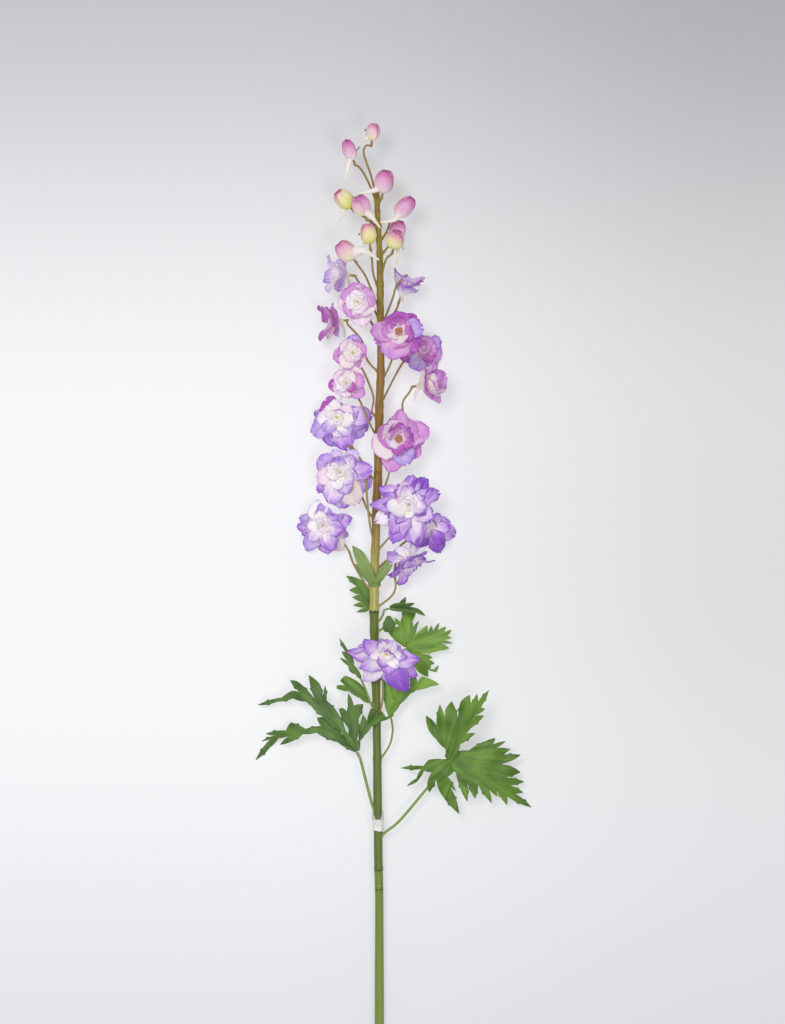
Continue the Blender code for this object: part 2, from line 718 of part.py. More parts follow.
BLOOMS = [
    dict(name="bloom_05", base=(16, 723, 8), facing=(0.05, 0.05, 1), colour=MAGENTA, ratio=0.8,
         petals=[(90, 18), (33, 20), (12, 22), (-35, 21), (-103, 26), (205, 21), (183, 25), (144, 16)],
         opening=(52, 84), inner_length=0.6, heart_length=7.0, heart_open=46),
    dict(name="bloom_14", base=(25, 577, 7), facing=(0.02, 0.05, 1), colour=VIOLET, pointed=True,
         ratio=0.52, opening=(64, 96),
         petals=[(146, 28), (180, 33), (208, 31), (238, 30), (-75, 35), (-33, 24), (31, 24), (65, 25),
                 (105, 20)]),
    dict(name="bloom_17", base=(6, 450, 11), facing=(0.05, -0.3, 1), colour=VIOLET, pointed=True,
         ratio=0.5, petals=[(139, 25), (54, 22), (0, 28), (-35, 30), (-60, 34), (227, 28), (174, 29),
                            (200, 25)], spur=225, opening=(60, 92)),
    dict(name="bloom_02", base=(-18, 749, 2), facing=(-0.05, 0.02, 1), colour=LILAC, ratio=0.78,
         petals=[(90, 16), (138, 16), (190, 16), (235, 16), (284, 21), (330, 18), (20, 17)],
         opening=(52, 84), inner_length=0.66),
    dict(name="bloom_13", base=(16, 633, -0.5), facing=(0.05, 0.0, 1), colour=MAGENTA, ratio=0.72,
         petals=[(134, 25), (203, 25), (88, 30), (57, 25), (20, 28), (-75, 24), (-105, 28), (-35, 22)],
         opening=(58, 88)),
    dict(name="bloom_10", base=(-35, 652, -13.5), facing=(-0.1, -0.05, 1), colour=VIOLET, ratio=0.62,
         petals=[(127, 18), (180, 22), (214, 26), (250, 28), (-72, 29), (-33, 28), (2, 29), (32, 24)],
         opening=(74, 134)),
    dict(name="bloom_11", base=(-33, 606, -3.5), facing=(-0.02, -0.12, 1), colour=LILAC, ratio=0.6,
         petals=[(152, 21), (194, 21), (222, 25), (252, 28), (272, 31), (-65, 31), (-30, 28), (5, 28)],
         opening=(62, 92)),
    dict(name="bloom_12", base=(-47, 561, -11.5), facing=(-0.1, -0.15, 1), colour=VIOLET, pointed=True,
         ratio=0.52, petals=[(193, 26), (111, 22), (44, 22), (12, 25), (-88, 30), (236, 28), (-54, 27)],
         opening=(74, 134)),
    dict(name="bloom_15", base=(42, 559, -11.5), facing=(0.3, -0.15, 1), colour=VIOLET, pointed=True,
         ratio=0.52, petals=[(59, 19), (14, 18), (-16, 25), (-67, 25), (-40, 21), (120, 16), (190, 18)],
         opening=(74, 134), heart=False, rows=SHORT_ROWS),
    dict(name="bloom_16", base=(20, 536, 2.5), facing=(0.5, -0.8, 0.25), colour=VIOLET, pointed=True,
         ratio=0.5, petals=[(20, 25), (75, 24), (128, 24), (190, 24), (245, 25), (305, 24)],
         opening=(42, 70), heart=False, spur=200, rows=SHORT_ROWS),
    dict(name="bloom_07", base=(32, 678, 7), facing=(0.85, 0.2, 0.4), colour=MAGENTA, ratio=0.7,
         petals=[(0, 22), (60, 22), (120, 22), (180, 23), (240, 22), (300, 22)],
         opening=(34, 52), inner_length=0.7, heart=False, rows=SHORT_ROWS),
    dict(name="bloom_06", base=(34, 709, -16.4), facing=(0.35, 0.1, 1), colour=VIOLET, ratio=0.7,
         petals=[(60, 18), (15, 20), (-30, 20), (-80, 18), (130, 18), (200, 18), (250, 18)],
         opening=(74, 134), rows=SHORT_ROWS),
    dict(name="bloom_08", base=(-22, 706, -2.5), facing=(-0.03, 0.02, 1), colour=LILAC, ratio=0.78,
         petals=[(88, 15), (130, 14), (195, 17), (232, 17), (-57, 14), (25, 13)], opening=(50, 82),
         heart_length=6.0, rows=SHORT_ROWS),
    dict(name="bloom_09", base=(-28, 680, -0.5), facing=(0.0, 0.05, 1), colour=LILAC, ratio=0.74,
         petals=[(190, 15), (45, 17), (8, 17), (-38, 18), (-100, 13), (125, 13)], opening=(52, 84),
         heart_length=6.0, rows=SHORT_ROWS),
    dict(name="bloom_01", base=(-25, 772, -1), facing=(-0.9, 0.05, 0.35), colour=PALE, ratio=0.66,
         petals=[(10, 18), (82, 17), (154, 17), (226, 17), (298, 17)], opening=(46, 76), inner=3,
         heart=False, rows=SHORT_ROWS),
    dict(name="bloom_03", base=(-31, 734, -11.6), facing=(-0.95, -0.1, 0.3), colour=MAGENTA, ratio=0.7,
         petals=[(20, 17), (80, 16), (140, 17), (200, 16), (260, 17), (320, 16)], opening=(44, 74),
         inner=3, heart=False, rows=SHORT_ROWS),
    dict(name="bloom_04", base=(18, 753, -1), facing=(0.3, 0.9, 0.1), colour=LILAC, ratio=0.72,
         petals=[(0, 17), (60, 17), (120, 17), (180, 17), (240, 17), (300, 17)], opening=(34, 62),
         inner=3, heart=False, spur=270, rows=SHORT_ROWS),
]

BUDS = [
    dict(name="bud_01", base=(-6, 885, 12.5), tip=(-4, 899, 14), width=12, colour=BUD_PINK,
         spur=[(-11, 886, 16.5), (-14, 883, 17.5)]),
    dict(name="bud_02", base=(-22, 869, 10), tip=(-28, 885, 12.5), width=11.5, colour=BUD_PINK,
         spur=[(-26, 864, 11.5), (-29, 851, 10)]),
    dict(name="bud_03", base=(3, 841, 14.5), tip=(6, 859, 19.5), width=16.5, colour=BUD_PINK,
         spur=[(-6, 842, 20), (-19, 840, 19.5)]),
    dict(name="bud_04", base=(-24, 829, 6.5), tip=(-35, 842, 12), width=15, colour=BUD_PINK,
         spur=[(-31, 824, 9), (-33, 818, 8)]),
    dict(name="bud_05", base=(-12, 822, 13), tip=(-18, 838, 16.5), width=15.5, colour=BUD_PINK,
         spur=[(-6, 820, 20), (1, 811, 16.5)]),
    dict(name="bud_06", base=(15, 822, 10), tip=(28, 836, 15.5), width=14.5, colour=BUD_PINK,
         spur=[(13, 818, 17), (1, 816, 12.5)]),
    dict(name="bud_07", base=(-8, 798, 6), tip=(-10.5, 815, 6.5), width=13.5, colour=BUD_PINK,
         spur=[(-13, 797, 0), (-15, 789, -4)]),
    dict(name="bud_08", base=(14, 803, -4), tip=(17, 818, -1), width=14, colour=BUD_PINK,
         spur=[(18, 802, -7), (21, 794, -9)]),
    dict(name="bud_09", base=(12, 794, 14), tip=(15, 808, 20.5), width=16, colour=BUD_PINK,
         spur=[(16, 792, 9), (15, 781, 6)]),
    dict(name="bud_10", base=(-22, 785, 16.5), tip=(-34, 798, 19), width=16, colour=BUD_PINK,
         spur=[(-14, 792, 22), (0, 784, 17.5)]),
]

PETIOLES = {
    "leaf_01": (309, [(-6, 322, 1), (-10, 337, 2.5), (-15.5, 359, 4.5)], (-19, 367, 5), (-0.5, 1, 0.1)),
    "leaf_02": (293, [(6, 299, 1), (18, 309, 2.5), (41, 336, -1.5)], (59, 357, 6), (0.3, 0.4, 0.85)),
    "leaf_03": (424, [(8, 437, -4.5), (16, 448, -7)], (22.5, 455, -7.5), (0.5, 1, 0)),
    "leaf_04": (472, [(-6, 480, -9.5)], (-8, 491, -6.5), (0, 0.4, 0.9)),
    "leaf_05": (473, [(3, 483, 3.5)], (8.5, 489, 4.5), (1, 0.3, 0.1)),
    "leaf_06": (401, [(-7, 408, 6.5), (-11.5, 420, 7)], (-16, 430, 6.5), (-0.5, 1, 0)),
    "leaf_07": (400, [(-4.5, 405, 4)], (-8.5, 409.5, 4.5), (-1, 0.5, 0.05)),
    "leaf_08": (358, [(2, 362, 0.5), (9, 373, 0), (11.5, 384.5, 0.5)], (10, 396, 0), (-0.2, 1, 0)),
    "leaf_09": (468, [(3, 472, 3)], (5, 478, 5.5), (0.2, 0.3, 0.9)),
}

LEAVES = {
    "leaf_01": (LEAF_DEEP, [
        dict(rib=[(-20, 369), (-72, 424)], heights=(6, 1), arch=7, fold=-0.12, outline=[
            (-17.5, 368), (-21, 376), (-28, 387), (-34, 398.5), (-43, 414), (-45.5, 423), (-46, 415.5),
            (-50, 424), (-59.5, 431.5), (-54, 413), (-69.5, 426.5), (-75.5, 427), (-67.5, 417.5),
            (-73, 418.5), (-86, 411.5), (-103, 406), (-86, 409), (-76.5, 411), (-63, 410),
            (-57.5, 406), (-46.5, 396), (-31.5, 384), (-22, 368)]),
        dict(rib=[(-20, 369), (-92, 382)], heights=(5.5, -10), arch=6, fold=-0.25, outline=[
            (-18, 371.5), (-26.5, 381.5), (-31.5, 385), (-43, 395.5), (-52.5, 395.5), (-50, 392.5),
            (-63, 390), (-74.5, 391.5), (-80, 387), (-96.5, 381.5), (-89, 380.5), (-100, 375),
            (-94, 376), (-105, 359), (-92.5, 370), (-86, 378), (-76, 381), (-84, 372.5), (-75, 375),
            (-65.5, 384), (-54, 386.5), (-36, 377), (-19.5, 366.5)]),
        dict(rib=[(-20, 369), (-26, 412)], heights=(6, 11), arch=2, fold=-0.2, outline=[
            (-22.5, 368), (-27.5, 388), (-34, 403), (-31, 404), (-28.5, 402.5), (-26.5, 406),
            (-26, 416.5), (-20.5, 408), (-13.5, 407), (-15.5, 396.5), (-18, 379), (-17.8, 368)]),
        dict(rib=[(-20, 369), (9, 397)], heights=(6, 14), arch=1, fold=-0.1, outline=[
            (-20.5, 370), (-18, 380), (-14, 398), (-12, 396.5), (-7, 404), (-1, 401), (1, 402),
            (5.5, 398.5), (12.5, 398), (2, 393), (-6.5, 391), (-12.5, 383), (-16, 378), (-17, 368)]),
    ]),
    "leaf_02": (LEAF_LIGHT, [
        dict(rib=[(60, 359), (90, 416)], heights=(7.5, 21.5), arch=4, fold=0.15, outline=[
            (58, 357), (54.5, 372), (48.5, 378), (42, 386), (40, 398), (46, 393), (51.5, 407.5),
            (55.5, 387), (56, 402.5), (61.5, 410), (64.5, 397), (69, 410), (76.5, 415.5), (75, 405),
            (82.5, 416.5), (83.5, 412), (92.5, 419.5), (86, 405.5), (89.5, 403.5), (80.5, 398),
            (88.5, 398), (77.5, 387.5), (73.5, 383), (81, 383), (69, 374), (62.5, 358)]),
        dict(rib=[(60, 359), (125, 323)], heights=(7.5, -9.5), arch=6, fold=-0.1, outline=[
            (58.5, 358), (64.5, 366.5), (78.5, 371), (90, 376), (98, 378.5), (99, 376), (107, 376),
            (91.5, 368.5), (101, 370.5), (111, 369), (103, 366), (119.5, 364.5), (111.5, 359.5),
            (96, 358.5), (110, 355.5), (119.5, 349.5), (108.5, 348), (123, 341.5), (113.5, 340),
            (122, 332.5), (117, 331.5), (129.5, 319), (109, 329), (108, 322), (98.5, 338),
            (100, 329.5), (93.5, 333), (95, 324), (84, 338), (81, 328), (74, 341.5), (74.5, 325.5),
            (65, 347.5), (59, 356)]),
        dict(rib=[(60, 359), (36, 342)], heights=(8.5, 3.5), arch=3, fold=-0.1, outline=[
            (61, 361), (54.5, 361), (43, 360.5), (35, 357.5), (18.5, 353), (33, 354.5), (30, 345),
            (24, 338), (32.5, 341.5), (36, 352.5), (44.5, 350), (41.5, 341), (43, 333), (49, 342.5),
            (51, 335.5), (68, 315), (61, 335.5), (65, 334.5), (59.5, 343), (64.5, 348), (72, 346),
            (70, 355.5), (62, 359)]),
    ]),
    "leaf_03": (LEAF_LIGHT, [
        dict(rib=[(24, 456), (24, 484)], heights=(-6.5, -8.5), arch=2, fold=0.1, outline=[
            (21.5, 456), (9, 467), (10, 471), (14.5, 474.5), (13, 480), (16, 478.5), (18, 483),
            (19.5, 486.5), (23.5, 484.5), (28.5, 485.5), (31, 484), (29.5, 479), (30.5, 474),
            (33.5, 477.5), (32, 473), (25.5, 456)]),
        dict(rib=[(24, 456), (58, 466)], heights=(-6, -4.5), arch=2, fold=0.1, outline=[
            (23, 457.5), (35.5, 470.5), (40.5, 474), (41, 469), (44, 474), (46, 472.5), (50.5, 476.5),
            (50, 472.5), (56, 473), (56, 470), (61, 470.5), (58, 465.5), (61, 463.5), (54.5, 462),
            (62, 459), (52.5, 459), (59, 455), (50, 453), (35.5, 451), (24, 454.5)]),
        dict(rib=[(24, 456), (45, 439)], heights=(-6.5, -10.5), arch=1, fold=-0.2, outline=[
            (25, 457.5), (36, 450), (41, 449.5), (44.5, 447), (43, 445.5), (46.5, 442.5), (44, 440.5),
            (43, 437), (46.5, 436.5), (50, 440.5), (48, 435), (41.5, 435), (41, 431), (35, 434),
            (31, 438), (23, 455)]),
    ]),
    "leaf_04": (LEAF_DEEP, [
        dict(rib=[(-8, 491), (-24, 512)], heights=(-5.5, -5.5), arch=0, fold=0.0, outline=[
            (-6, 490), (-11, 486), (-19, 486), (-14, 489.5), (-21.5, 491.5), (-16.5, 494.5),
            (-22.5, 498), (-17, 500.5), (-25, 504), (-19, 507.5), (-28, 516), (-17, 513.5),
            (-9, 506.5), (-5, 500)]),
    ]),
    "leaf_05": (LEAF_DEEP, [
        dict(rib=[(9, 489.5), (34, 487)], heights=(4.5, 6.5), arch=2, fold=0.3, outline=[
            (9, 488), (9, 491.2), (12, 493), (18, 495.5), (22, 498.5), (23.5, 495), (29.5, 493.5),
            (27, 491.5), (33, 488.5), (38.5, 483), (31.5, 485.5), (27, 485), (21.5, 485), (19, 486.5)]),
    ]),
    "leaf_06": (LEAF_DEEP, [
        dict(rib=[(-15.7, 430), (-31, 458)], heights=(6.5, 9.5), arch=1, fold=0.15, outline=[
            (-17, 429.5), (-20, 433), (-24.5, 435.5), (-28, 440.5), (-33, 447), (-26.5, 444),
            (-31.5, 452), (-28.5, 452), (-33.5, 463), (-27.5, 455), (-24, 451), (-21.5, 445),
            (-21.5, 441), (-17.5, 436), (-15, 430.5)]),
    ]),
    "leaf_07": (LEAF_LIGHT, [
        dict(rib=[(-9, 410), (-33, 424)], heights=(5, 1.5), arch=2, fold=-0.12, outline=[
            (-8.8, 408.5), (-12, 409.5), (-16.5, 413), (-25.5, 418.5), (-35.5, 420.5), (-35, 423),
            (-28.5, 423.5), (-32.5, 427), (-28.5, 431), (-22, 428.5), (-14.5, 423), (-10, 416),
            (-8.8, 411)]),
    ]),
    "leaf_08": (LEAF_LIGHT, [
        dict(rib=[(10, 397), (45, 424)], heights=(0, 4), arch=1, fold=0.1, outline=[
            (9.5, 396.5), (11.5, 413.5), (10.5, 421.5), (12.5, 431), (19, 424.5), (25, 424),
            (28, 434), (31.5, 430), (35.5, 430.5), (40, 429.5), (50.5, 424), (43.5, 422.5),
            (32, 421.5), (26, 416), (18, 409.5), (12.5, 400), (11, 396.5)]),
        dict(rib=[(10, 397), (5, 430)], heights=(0, -3), arch=1, fold=0.0, outline=[
            (8.5, 396.5), (5, 407), (4, 417), (3.5, 427), (5, 433.5), (7, 428), (9.5, 426.5),
            (11.5, 416), (11, 397)]),
    ]),
    "leaf_09": (LEAF_DEEP, [
        dict(rib=[(5, 479), (8, 469)], heights=(6.5, 5.5), arch=0, fold=0.0, outline=[
            (4.5, 479), (6.5, 482.5), (9, 483), (12, 479.5), (14, 476.5), (9.5, 471), (7.5, 469.5),
            (4, 470.5), (3.2, 475)]),
    ]),
}

BRACTS = [
    dict(rib=[(-4, 512), (-23, 542)], heights=(5.5, 6.5), arch=3, fold=0.12, outline=[
        (-2, 510.5), (-6, 510.5), (-12, 517), (-18, 526), (-23, 542.5), (-14.5, 538), (-8.5, 528.5),
        (-4.5, 518.5)]),
    dict(rib=[(-4, 512), (12, 531)], heights=(6, 8.5), arch=2, fold=0.12, outline=[
        (-5, 510.5), (-1, 519.5), (5, 528), (12.5, 532), (11.5, 526), (6, 517.5), (0, 510.5)]),
    dict(rib=[(-4, 512), (-20, 526)], heights=(5, 0.5), arch=1, fold=0.12, outline=[
        (-4, 509), (-9, 511), (-15, 517), (-20.5, 527), (-13, 524), (-6, 515.5)]),
]


def build_bracts(shop):
    """Three narrow leaves on a sheath that clasps the stem."""
    start, end = 508.0, 514.0
    inner = interpolate(STEM_RADIUS, start) + FIT_GAP + 0.2
    ring = tube(shop, "bracts", [stem_point(start), stem_point(end)], [inner + 1.0] * 2, resolution=3)
    pieces = [ring] + [leaf_lobe(shop, f"bract_{i}", lobe) for i, lobe in enumerate(BRACTS)]
    body = fuse(shop, "bracts", pieces)
    beyond = [stem_point(start - 30.0), stem_point(end + 40.0)]
    cut(body, tube(shop, "sheath_bore", beyond, [inner] * 2, resolution=3))
    keep_outer_shell(body)
    shop.keep(body, BRACT_GREEN, 0.5)


def build_stalks(shop):
    """Every stalk, as loose tubes for the stem that they grow from."""
    blooms = {spec["name"]: spec for spec in BLOOMS}
    buds = {spec["name"]: spec for spec in BUDS}
    pedicels = []
    for name, (root, route) in PEDICELS.items():
        spec = blooms[name]
        pedicels.append(stalk(shop, name + "_stalk", root, route, spec["base"], spec["facing"],
                              PEDICEL_RADIUS))
    for name, (root, route) in BUD_STALKS.items():
        spec = buds[name]
        facing = above_stem(spec["tip"]) - above_stem(spec["base"])
        pedicels.append(stalk(shop, name + "_stalk", root, route, spec["base"], facing,
                              PEDICEL_RADIUS))
    for root, route in (TWIN_STALK, BARE_STALK):
        path = smooth_path([stem_point(root)] + [above_stem(p) for p in route], 12.0)
        pedicels.append(tube(shop, "loose_stalk", path, [PEDICEL_RADIUS] * len(path)))
    petioles = []
    for name, (root, route, end, facing) in PETIOLES.items():
        petioles.append(stalk(shop, name + "_stalk", root, route, end, facing,
                              PETIOLE_RADIUS if name in ("leaf_01", "leaf_02") else PEDICEL_RADIUS))
    low = blooms["bloom_17"]
    petioles.append(stalk(shop, "bloom_17_stalk", 398, [(1, 403, 5), (3, 414, 6.5), (3, 433, 5.5)],
                          low["base"], low["facing"], PEDICEL_RADIUS))
    return pedicels, petioles


def lowest_corner(objects):
    """Corners of the box round all the objects."""
    points = [obj.matrix_world @ v.co for obj in objects for v in obj.data.vertices]
    low = Vector([min(p[i] for p in points) for i in range(3)])
    high = Vector([max(p[i] for p in points) for i in range(3)])
    return low, high


def main():
    """Build the spike, then centre it on the surface."""
    start_clean()
    shop = Workshop("delphinium_spike")
    pedicels, petioles = build_stalks(shop)
    upper_stem(shop, pedicels)
    middle_stem(shop, petioles)
    lower_stem(shop)
    wrap_band(shop)
    build_bracts(shop)
    for spec in BUDS:
        build_bud(shop, spec)
    for name, (colour, lobes) in LEAVES.items():
        build_leaf(shop, name, lobes, colour)
    for spec in BLOOMS:
        build_bloom(shop, spec)
    low, high = lowest_corner(shop.nodes)
    holder = bpy.data.objects.new("spike", None)
    shop.parts.objects.link(holder)
    holder.location = (-(low.x + high.x) / 2, -(low.y + high.y) / 2, -low.z)
    for obj in shop.nodes:
        obj.parent = holder
    bpy.context.view_layer.update()


if __name__ == "__main__":
    main()
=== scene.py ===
"""Delphinium flower spike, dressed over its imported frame.

Every node of the frame is replaced by a finer piece of the same form. The
tables are in the plant's own frame: millimetres, x across the stem, y along
it from the cut end to the tip, z up from the surface that the spike lies on.
"""
import dataclasses
import itertools
import math
import random

import bmesh
import bpy
import numpy as np
from mathutils import Matrix, Vector
from mathutils.bvhtree import BVHTree
from mathutils.geometry import delaunay_2d_cdt


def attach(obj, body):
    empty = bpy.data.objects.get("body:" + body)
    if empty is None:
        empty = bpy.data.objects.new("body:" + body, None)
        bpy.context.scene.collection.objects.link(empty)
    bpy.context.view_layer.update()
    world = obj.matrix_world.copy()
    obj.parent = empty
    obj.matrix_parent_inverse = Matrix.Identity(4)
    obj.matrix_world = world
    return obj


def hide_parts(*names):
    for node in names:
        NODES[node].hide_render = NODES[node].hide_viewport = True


bl_info = {
    "name": "Delphinium Spike",
    "version": (1, 0, 0),
    "blender": (4, 5, 0),
    "location": "View3D > Sidebar > Spike",
    "description": "Builds a lying delphinium spike of cloth florets, buds and cut leaves",
    "category": "Add Mesh",
}

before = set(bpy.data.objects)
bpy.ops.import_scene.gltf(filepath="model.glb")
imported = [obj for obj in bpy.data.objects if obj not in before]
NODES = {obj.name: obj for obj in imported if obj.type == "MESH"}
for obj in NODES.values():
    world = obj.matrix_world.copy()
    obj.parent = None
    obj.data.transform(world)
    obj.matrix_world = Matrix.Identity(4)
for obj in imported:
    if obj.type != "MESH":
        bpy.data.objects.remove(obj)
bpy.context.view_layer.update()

# Places along the stem, gaps and radii in millimetres, and the slope that the stem lies at

MM = 0.001
STEM_REST = 3.8
STEM_SLOPE = 0.026
SLEEVE_STEP = 249.0
SLEEVE_SEAM = 266.0
BAND_START = 299.6
BAND_END = 309.2
COLLAR_SEAM = 486.0
BROWN_START = 605.0
STEM_TIP = 843.0
SEAM_GAP = 0.3
FLOOR_GAP = 0.32
STALK = 0.85
LEAF_STALK = 1.15
HEART_SEAT = 8.0
SEPAL_CLOTH = 0.3
FILM = 0.3
HEART_THINNER = 0.7

# How finely the stem, the leaves and their cut edges are divided, and how far those edges bow out

STEM_STEP = 2.5
LEAF_STEP = 1.35
EDGE_STEP = 1.3
EDGE_BULGE = 0.05

# How near a petal and a horn lie to their solids, how long an edge has a tooth, and angles in degrees

PETAL_NEAR = 0.7
PETAL_FAR = 1.3
HORN_NEAR = 2.2
TOOTHED_EDGE = 12.5
WIDE_GAP = 52
STAMEN_TURN = 137.5

# Stem centre across the plant at points along it, and its radius there

STEM_BOW = [
    (0, 0.0), (237, 0.0), (290, -1.0), (358, -1.7), (384, -2.1), (486, -4.4),
    (517, -4.0), (564, -2.7), (612, -0.9), (656, 0.0), (694, 1.3), (740, 1.0),
    (775, 0.7), (843, -1.9),
]
STEM_RADIUS = [
    (0, 4.0), (145, 4.0), (237, 3.6), (266, 3.7), (330, 3.75), (384, 3.5),
    (470, 3.75), (486, 3.9), (500, 3.8), (545, 3.6), (656, 3.55), (694, 3.2),
    (738, 2.75), (775, 2.9), (805, 2.3), (843, 2.1),
]

# Where each stalk leaves the stem, and the points that it passes

PEDICELS = {
    "bloom_01": (733, [(-15, 762, 1.5)]),
    "bloom_02": (717, [(-9, 736, -2.5)]),
    "bloom_03": (688, [(-10, 700, -5), (-15, 717, -10), (-27, 731, -10.5)]),
    "bloom_04": (722, [(14, 742, 0)]),
    "bloom_05": (679, [(10, 698, -1), (13, 712, 1.5)]),
    "bloom_06": (659, [(7, 674, -6), (20, 698, -18.5)]),
    "bloom_07": (620, [(8, 632, 1.5), (16, 643, 8), (20, 653, 13), (20, 664, 11.5), (26, 673, 8)]),
    "bloom_08": (650, [(-6, 656, -3.5), (-5, 669, -7), (-12, 688, -8.5), (-18, 698, -8)]),
    "bloom_09": (632, [(-8, 646, 4), (-14, 660, 0.5), (-18, 668, -3)]),
    "bloom_10": (595, [(-8, 603, 4), (-16, 616, 2.5), (-25, 630, -7.5), (-31, 643, -18)]),
    "bloom_11": (563, [(-9, 571, -1), (-15, 584, -6.5), (-24, 596, -11)]),
    "bloom_12": (500, [(-12, 510, -2.5), (-22, 527, -8), (-28, 541, -12.5)]),
    "bloom_13": (580, [(2, 587, -2.5), (7, 599, -6), (13, 622, -7)]),
    "bloom_14": (536, [(9, 550, 1), (18, 563, -0.5)]),
    "bloom_15": (520, [(6, 530, -4.5), (20, 544, -10), (34, 553, -15.5)]),
    "bloom_16": (488, [(10, 499, 1), (14, 508, 0.5), (13, 522, 1)]),
}
TWIN_STALK = (541, [(-8, 561, 6.5), (-10.5, 586, 5.5), (-12, 602, 6), (-22, 622, 1), (-26, 628, -1)])
BARE_STALK = (726, [(11, 751, 6), (14, 761, 7.5), (19, 768, 8), (24, 772, 9)])
LOW_PEDICEL = (398, [(1, 403, 5), (3, 414, 6.5), (3, 433, 5.5)])
TWIG = [(-16.2, 880, 13.5), (-19, 876.5, 13.5), (-23, 873.5, 13.5)]
BUD_STALKS = {
    "bud_01": (836, [(-7, 856, 9.5), (-13, 874, 11), (-11, 881, 11.5)]),
    "bud_02": (832, [(-9, 850, 6), (-16, 862, 8.5)]),
    "bud_03": (824, [(0, 832, 8.5)]),
    "bud_04": (812, [(-14, 822, 5)]),
    "bud_05": (812, [(-4, 817, 8)]),
    "bud_06": (800, [(6, 808, 1.5), (9, 816, 4.5)]),
    "bud_07": (754, [(-5, 773, 3), (-6, 784, 4)]),
    "bud_08": (788, [(5, 793, -1), (10, 799, -3)]),
    "bud_09": (762, [(5, 783, 8.5)]),
    "bud_10": (741, [(-9, 765, 11.5), (-13, 773, 15), (-19, 781, 16.5)]),
}

# Florets: where each stands and faces, its long petals as (azimuth, length), and how far they open

BLOOMS = {
    "bloom_05": dict(base=(16, 723, 8), facing=(0.05, 0.05, 1), opening=(52, 84), heart_length=7.0,
                     petals=[(90, 18), (33, 20), (12, 22), (-35, 21), (-103, 26), (205, 21), (183, 25),
                     (144, 16)]),
    "bloom_14": dict(base=(25, 577, 7), facing=(0.02, 0.05, 1), opening=(64, 96), pointed=True,
                     petals=[(146, 28), (180, 33), (208, 31), (238, 30), (-75, 35), (-33, 24), (31, 24),
                     (65, 25), (105, 20)]),
    "bloom_17": dict(base=(6, 450, 11), facing=(0.05, -0.3, 1), opening=(60, 92), pointed=True, spur=225,
                     middle_up=3.5, petals=[(139, 25), (54, 22), (0, 28), (-35, 30), (-60, 34), (227, 28),
                     (174, 29), (200, 25)]),
    "bloom_02": dict(base=(-18, 749, 2), facing=(-0.05, 0.02, 1), opening=(52, 84), petals=[(90, 16),
                     (138, 16), (190, 16), (235, 16), (284, 21), (330, 18), (20, 17)]),
    "bloom_13": dict(base=(16, 633, -0.5), facing=(0.05, 0.0, 1), opening=(58, 88), petals=[(134, 25),
                     (203, 25), (88, 30), (57, 25), (20, 28), (-75, 24), (-105, 28), (-35, 22)]),
    "bloom_10": dict(base=(-35, 652, -13.5), facing=(-0.1, -0.05, 1), opening=(74, 134), petals=[(127, 18),
                     (180, 22), (214, 26), (250, 28), (-72, 29), (-33, 28), (2, 29), (32, 24)]),
    "bloom_11": dict(base=(-33, 606, -3.5), facing=(-0.02, -0.12, 1), opening=(62, 92), petals=[(152, 21),
                     (194, 21), (222, 25), (252, 28), (272, 31), (-65, 31), (-30, 28), (5, 28)]),
    "bloom_12": dict(base=(-47, 561, -11.5), facing=(-0.1, -0.15, 1), opening=(74, 134), pointed=True,
                     petals=[(193, 26), (111, 22), (44, 22), (12, 25), (-88, 30), (236, 28), (-54, 27)]),
    "bloom_15": dict(base=(42, 559, -11.5), facing=(0.3, -0.15, 1), opening=(74, 134), pointed=True,
                     petals=[(59, 19), (14, 18), (-16, 25), (-67, 25), (-40, 21), (120, 16), (190, 18)]),
    "bloom_16": dict(base=(20, 536, 2.5), facing=(0.5, -0.8, 0.25), opening=(42, 70), pointed=True,
                     lean=-66.0, spur=200, petals=[(20, 25), (75, 24), (128, 24), (190, 24), (245, 25),
                     (305, 24)]),
    "bloom_07": dict(base=(32, 678, 7), facing=(0.85, 0.2, 0.4), opening=(34, 52), petals=[(0, 22), (60, 22),
                     (120, 22), (180, 23), (240, 22), (300, 22)]),
    "bloom_06": dict(base=(34, 709, -16.4), facing=(0.35, 0.1, 1), opening=(74, 134), petals=[(60, 18),
                     (15, 20), (-30, 20), (-80, 18), (130, 18), (200, 18), (250, 18)]),
    "bloom_08": dict(base=(-22, 706, -2.5), facing=(-0.03, 0.02, 1), opening=(50, 82), heart_length=6.0,
                     petals=[(88, 15), (130, 14), (195, 17), (232, 17), (-57, 14), (25, 13)]),
    "bloom_09": dict(base=(-28, 680, -0.5), facing=(0.0, 0.05, 1), opening=(52, 84), heart_length=6.0,
                     petals=[(190, 15), (45, 17), (8, 17), (-38, 18), (-100, 13), (125, 13)]),
    "bloom_01": dict(base=(-25, 772, -1), facing=(-0.9, 0.05, 0.35), opening=(46, 76), lean=20.0,
                     petals=[(10, 18), (82, 17), (154, 17), (226, 17), (298, 17)]),
    "bloom_03": dict(base=(-31, 734, -11.6), facing=(-0.95, -0.1, 0.3), opening=(44, 74), lean=16.0,
                     petals=[(20, 17), (80, 16), (140, 17), (200, 16), (260, 17), (320, 16)]),
    "bloom_04": dict(base=(18, 753, -1), facing=(0.3, 0.9, 0.1), opening=(34, 62), lean=7.0, spur=270,
                     petals=[(0, 17), (60, 17), (120, 17), (180, 17), (240, 17), (300, 17)]),
}

# Buds: the foot and the tip of each, its width, and the points that its horn passes

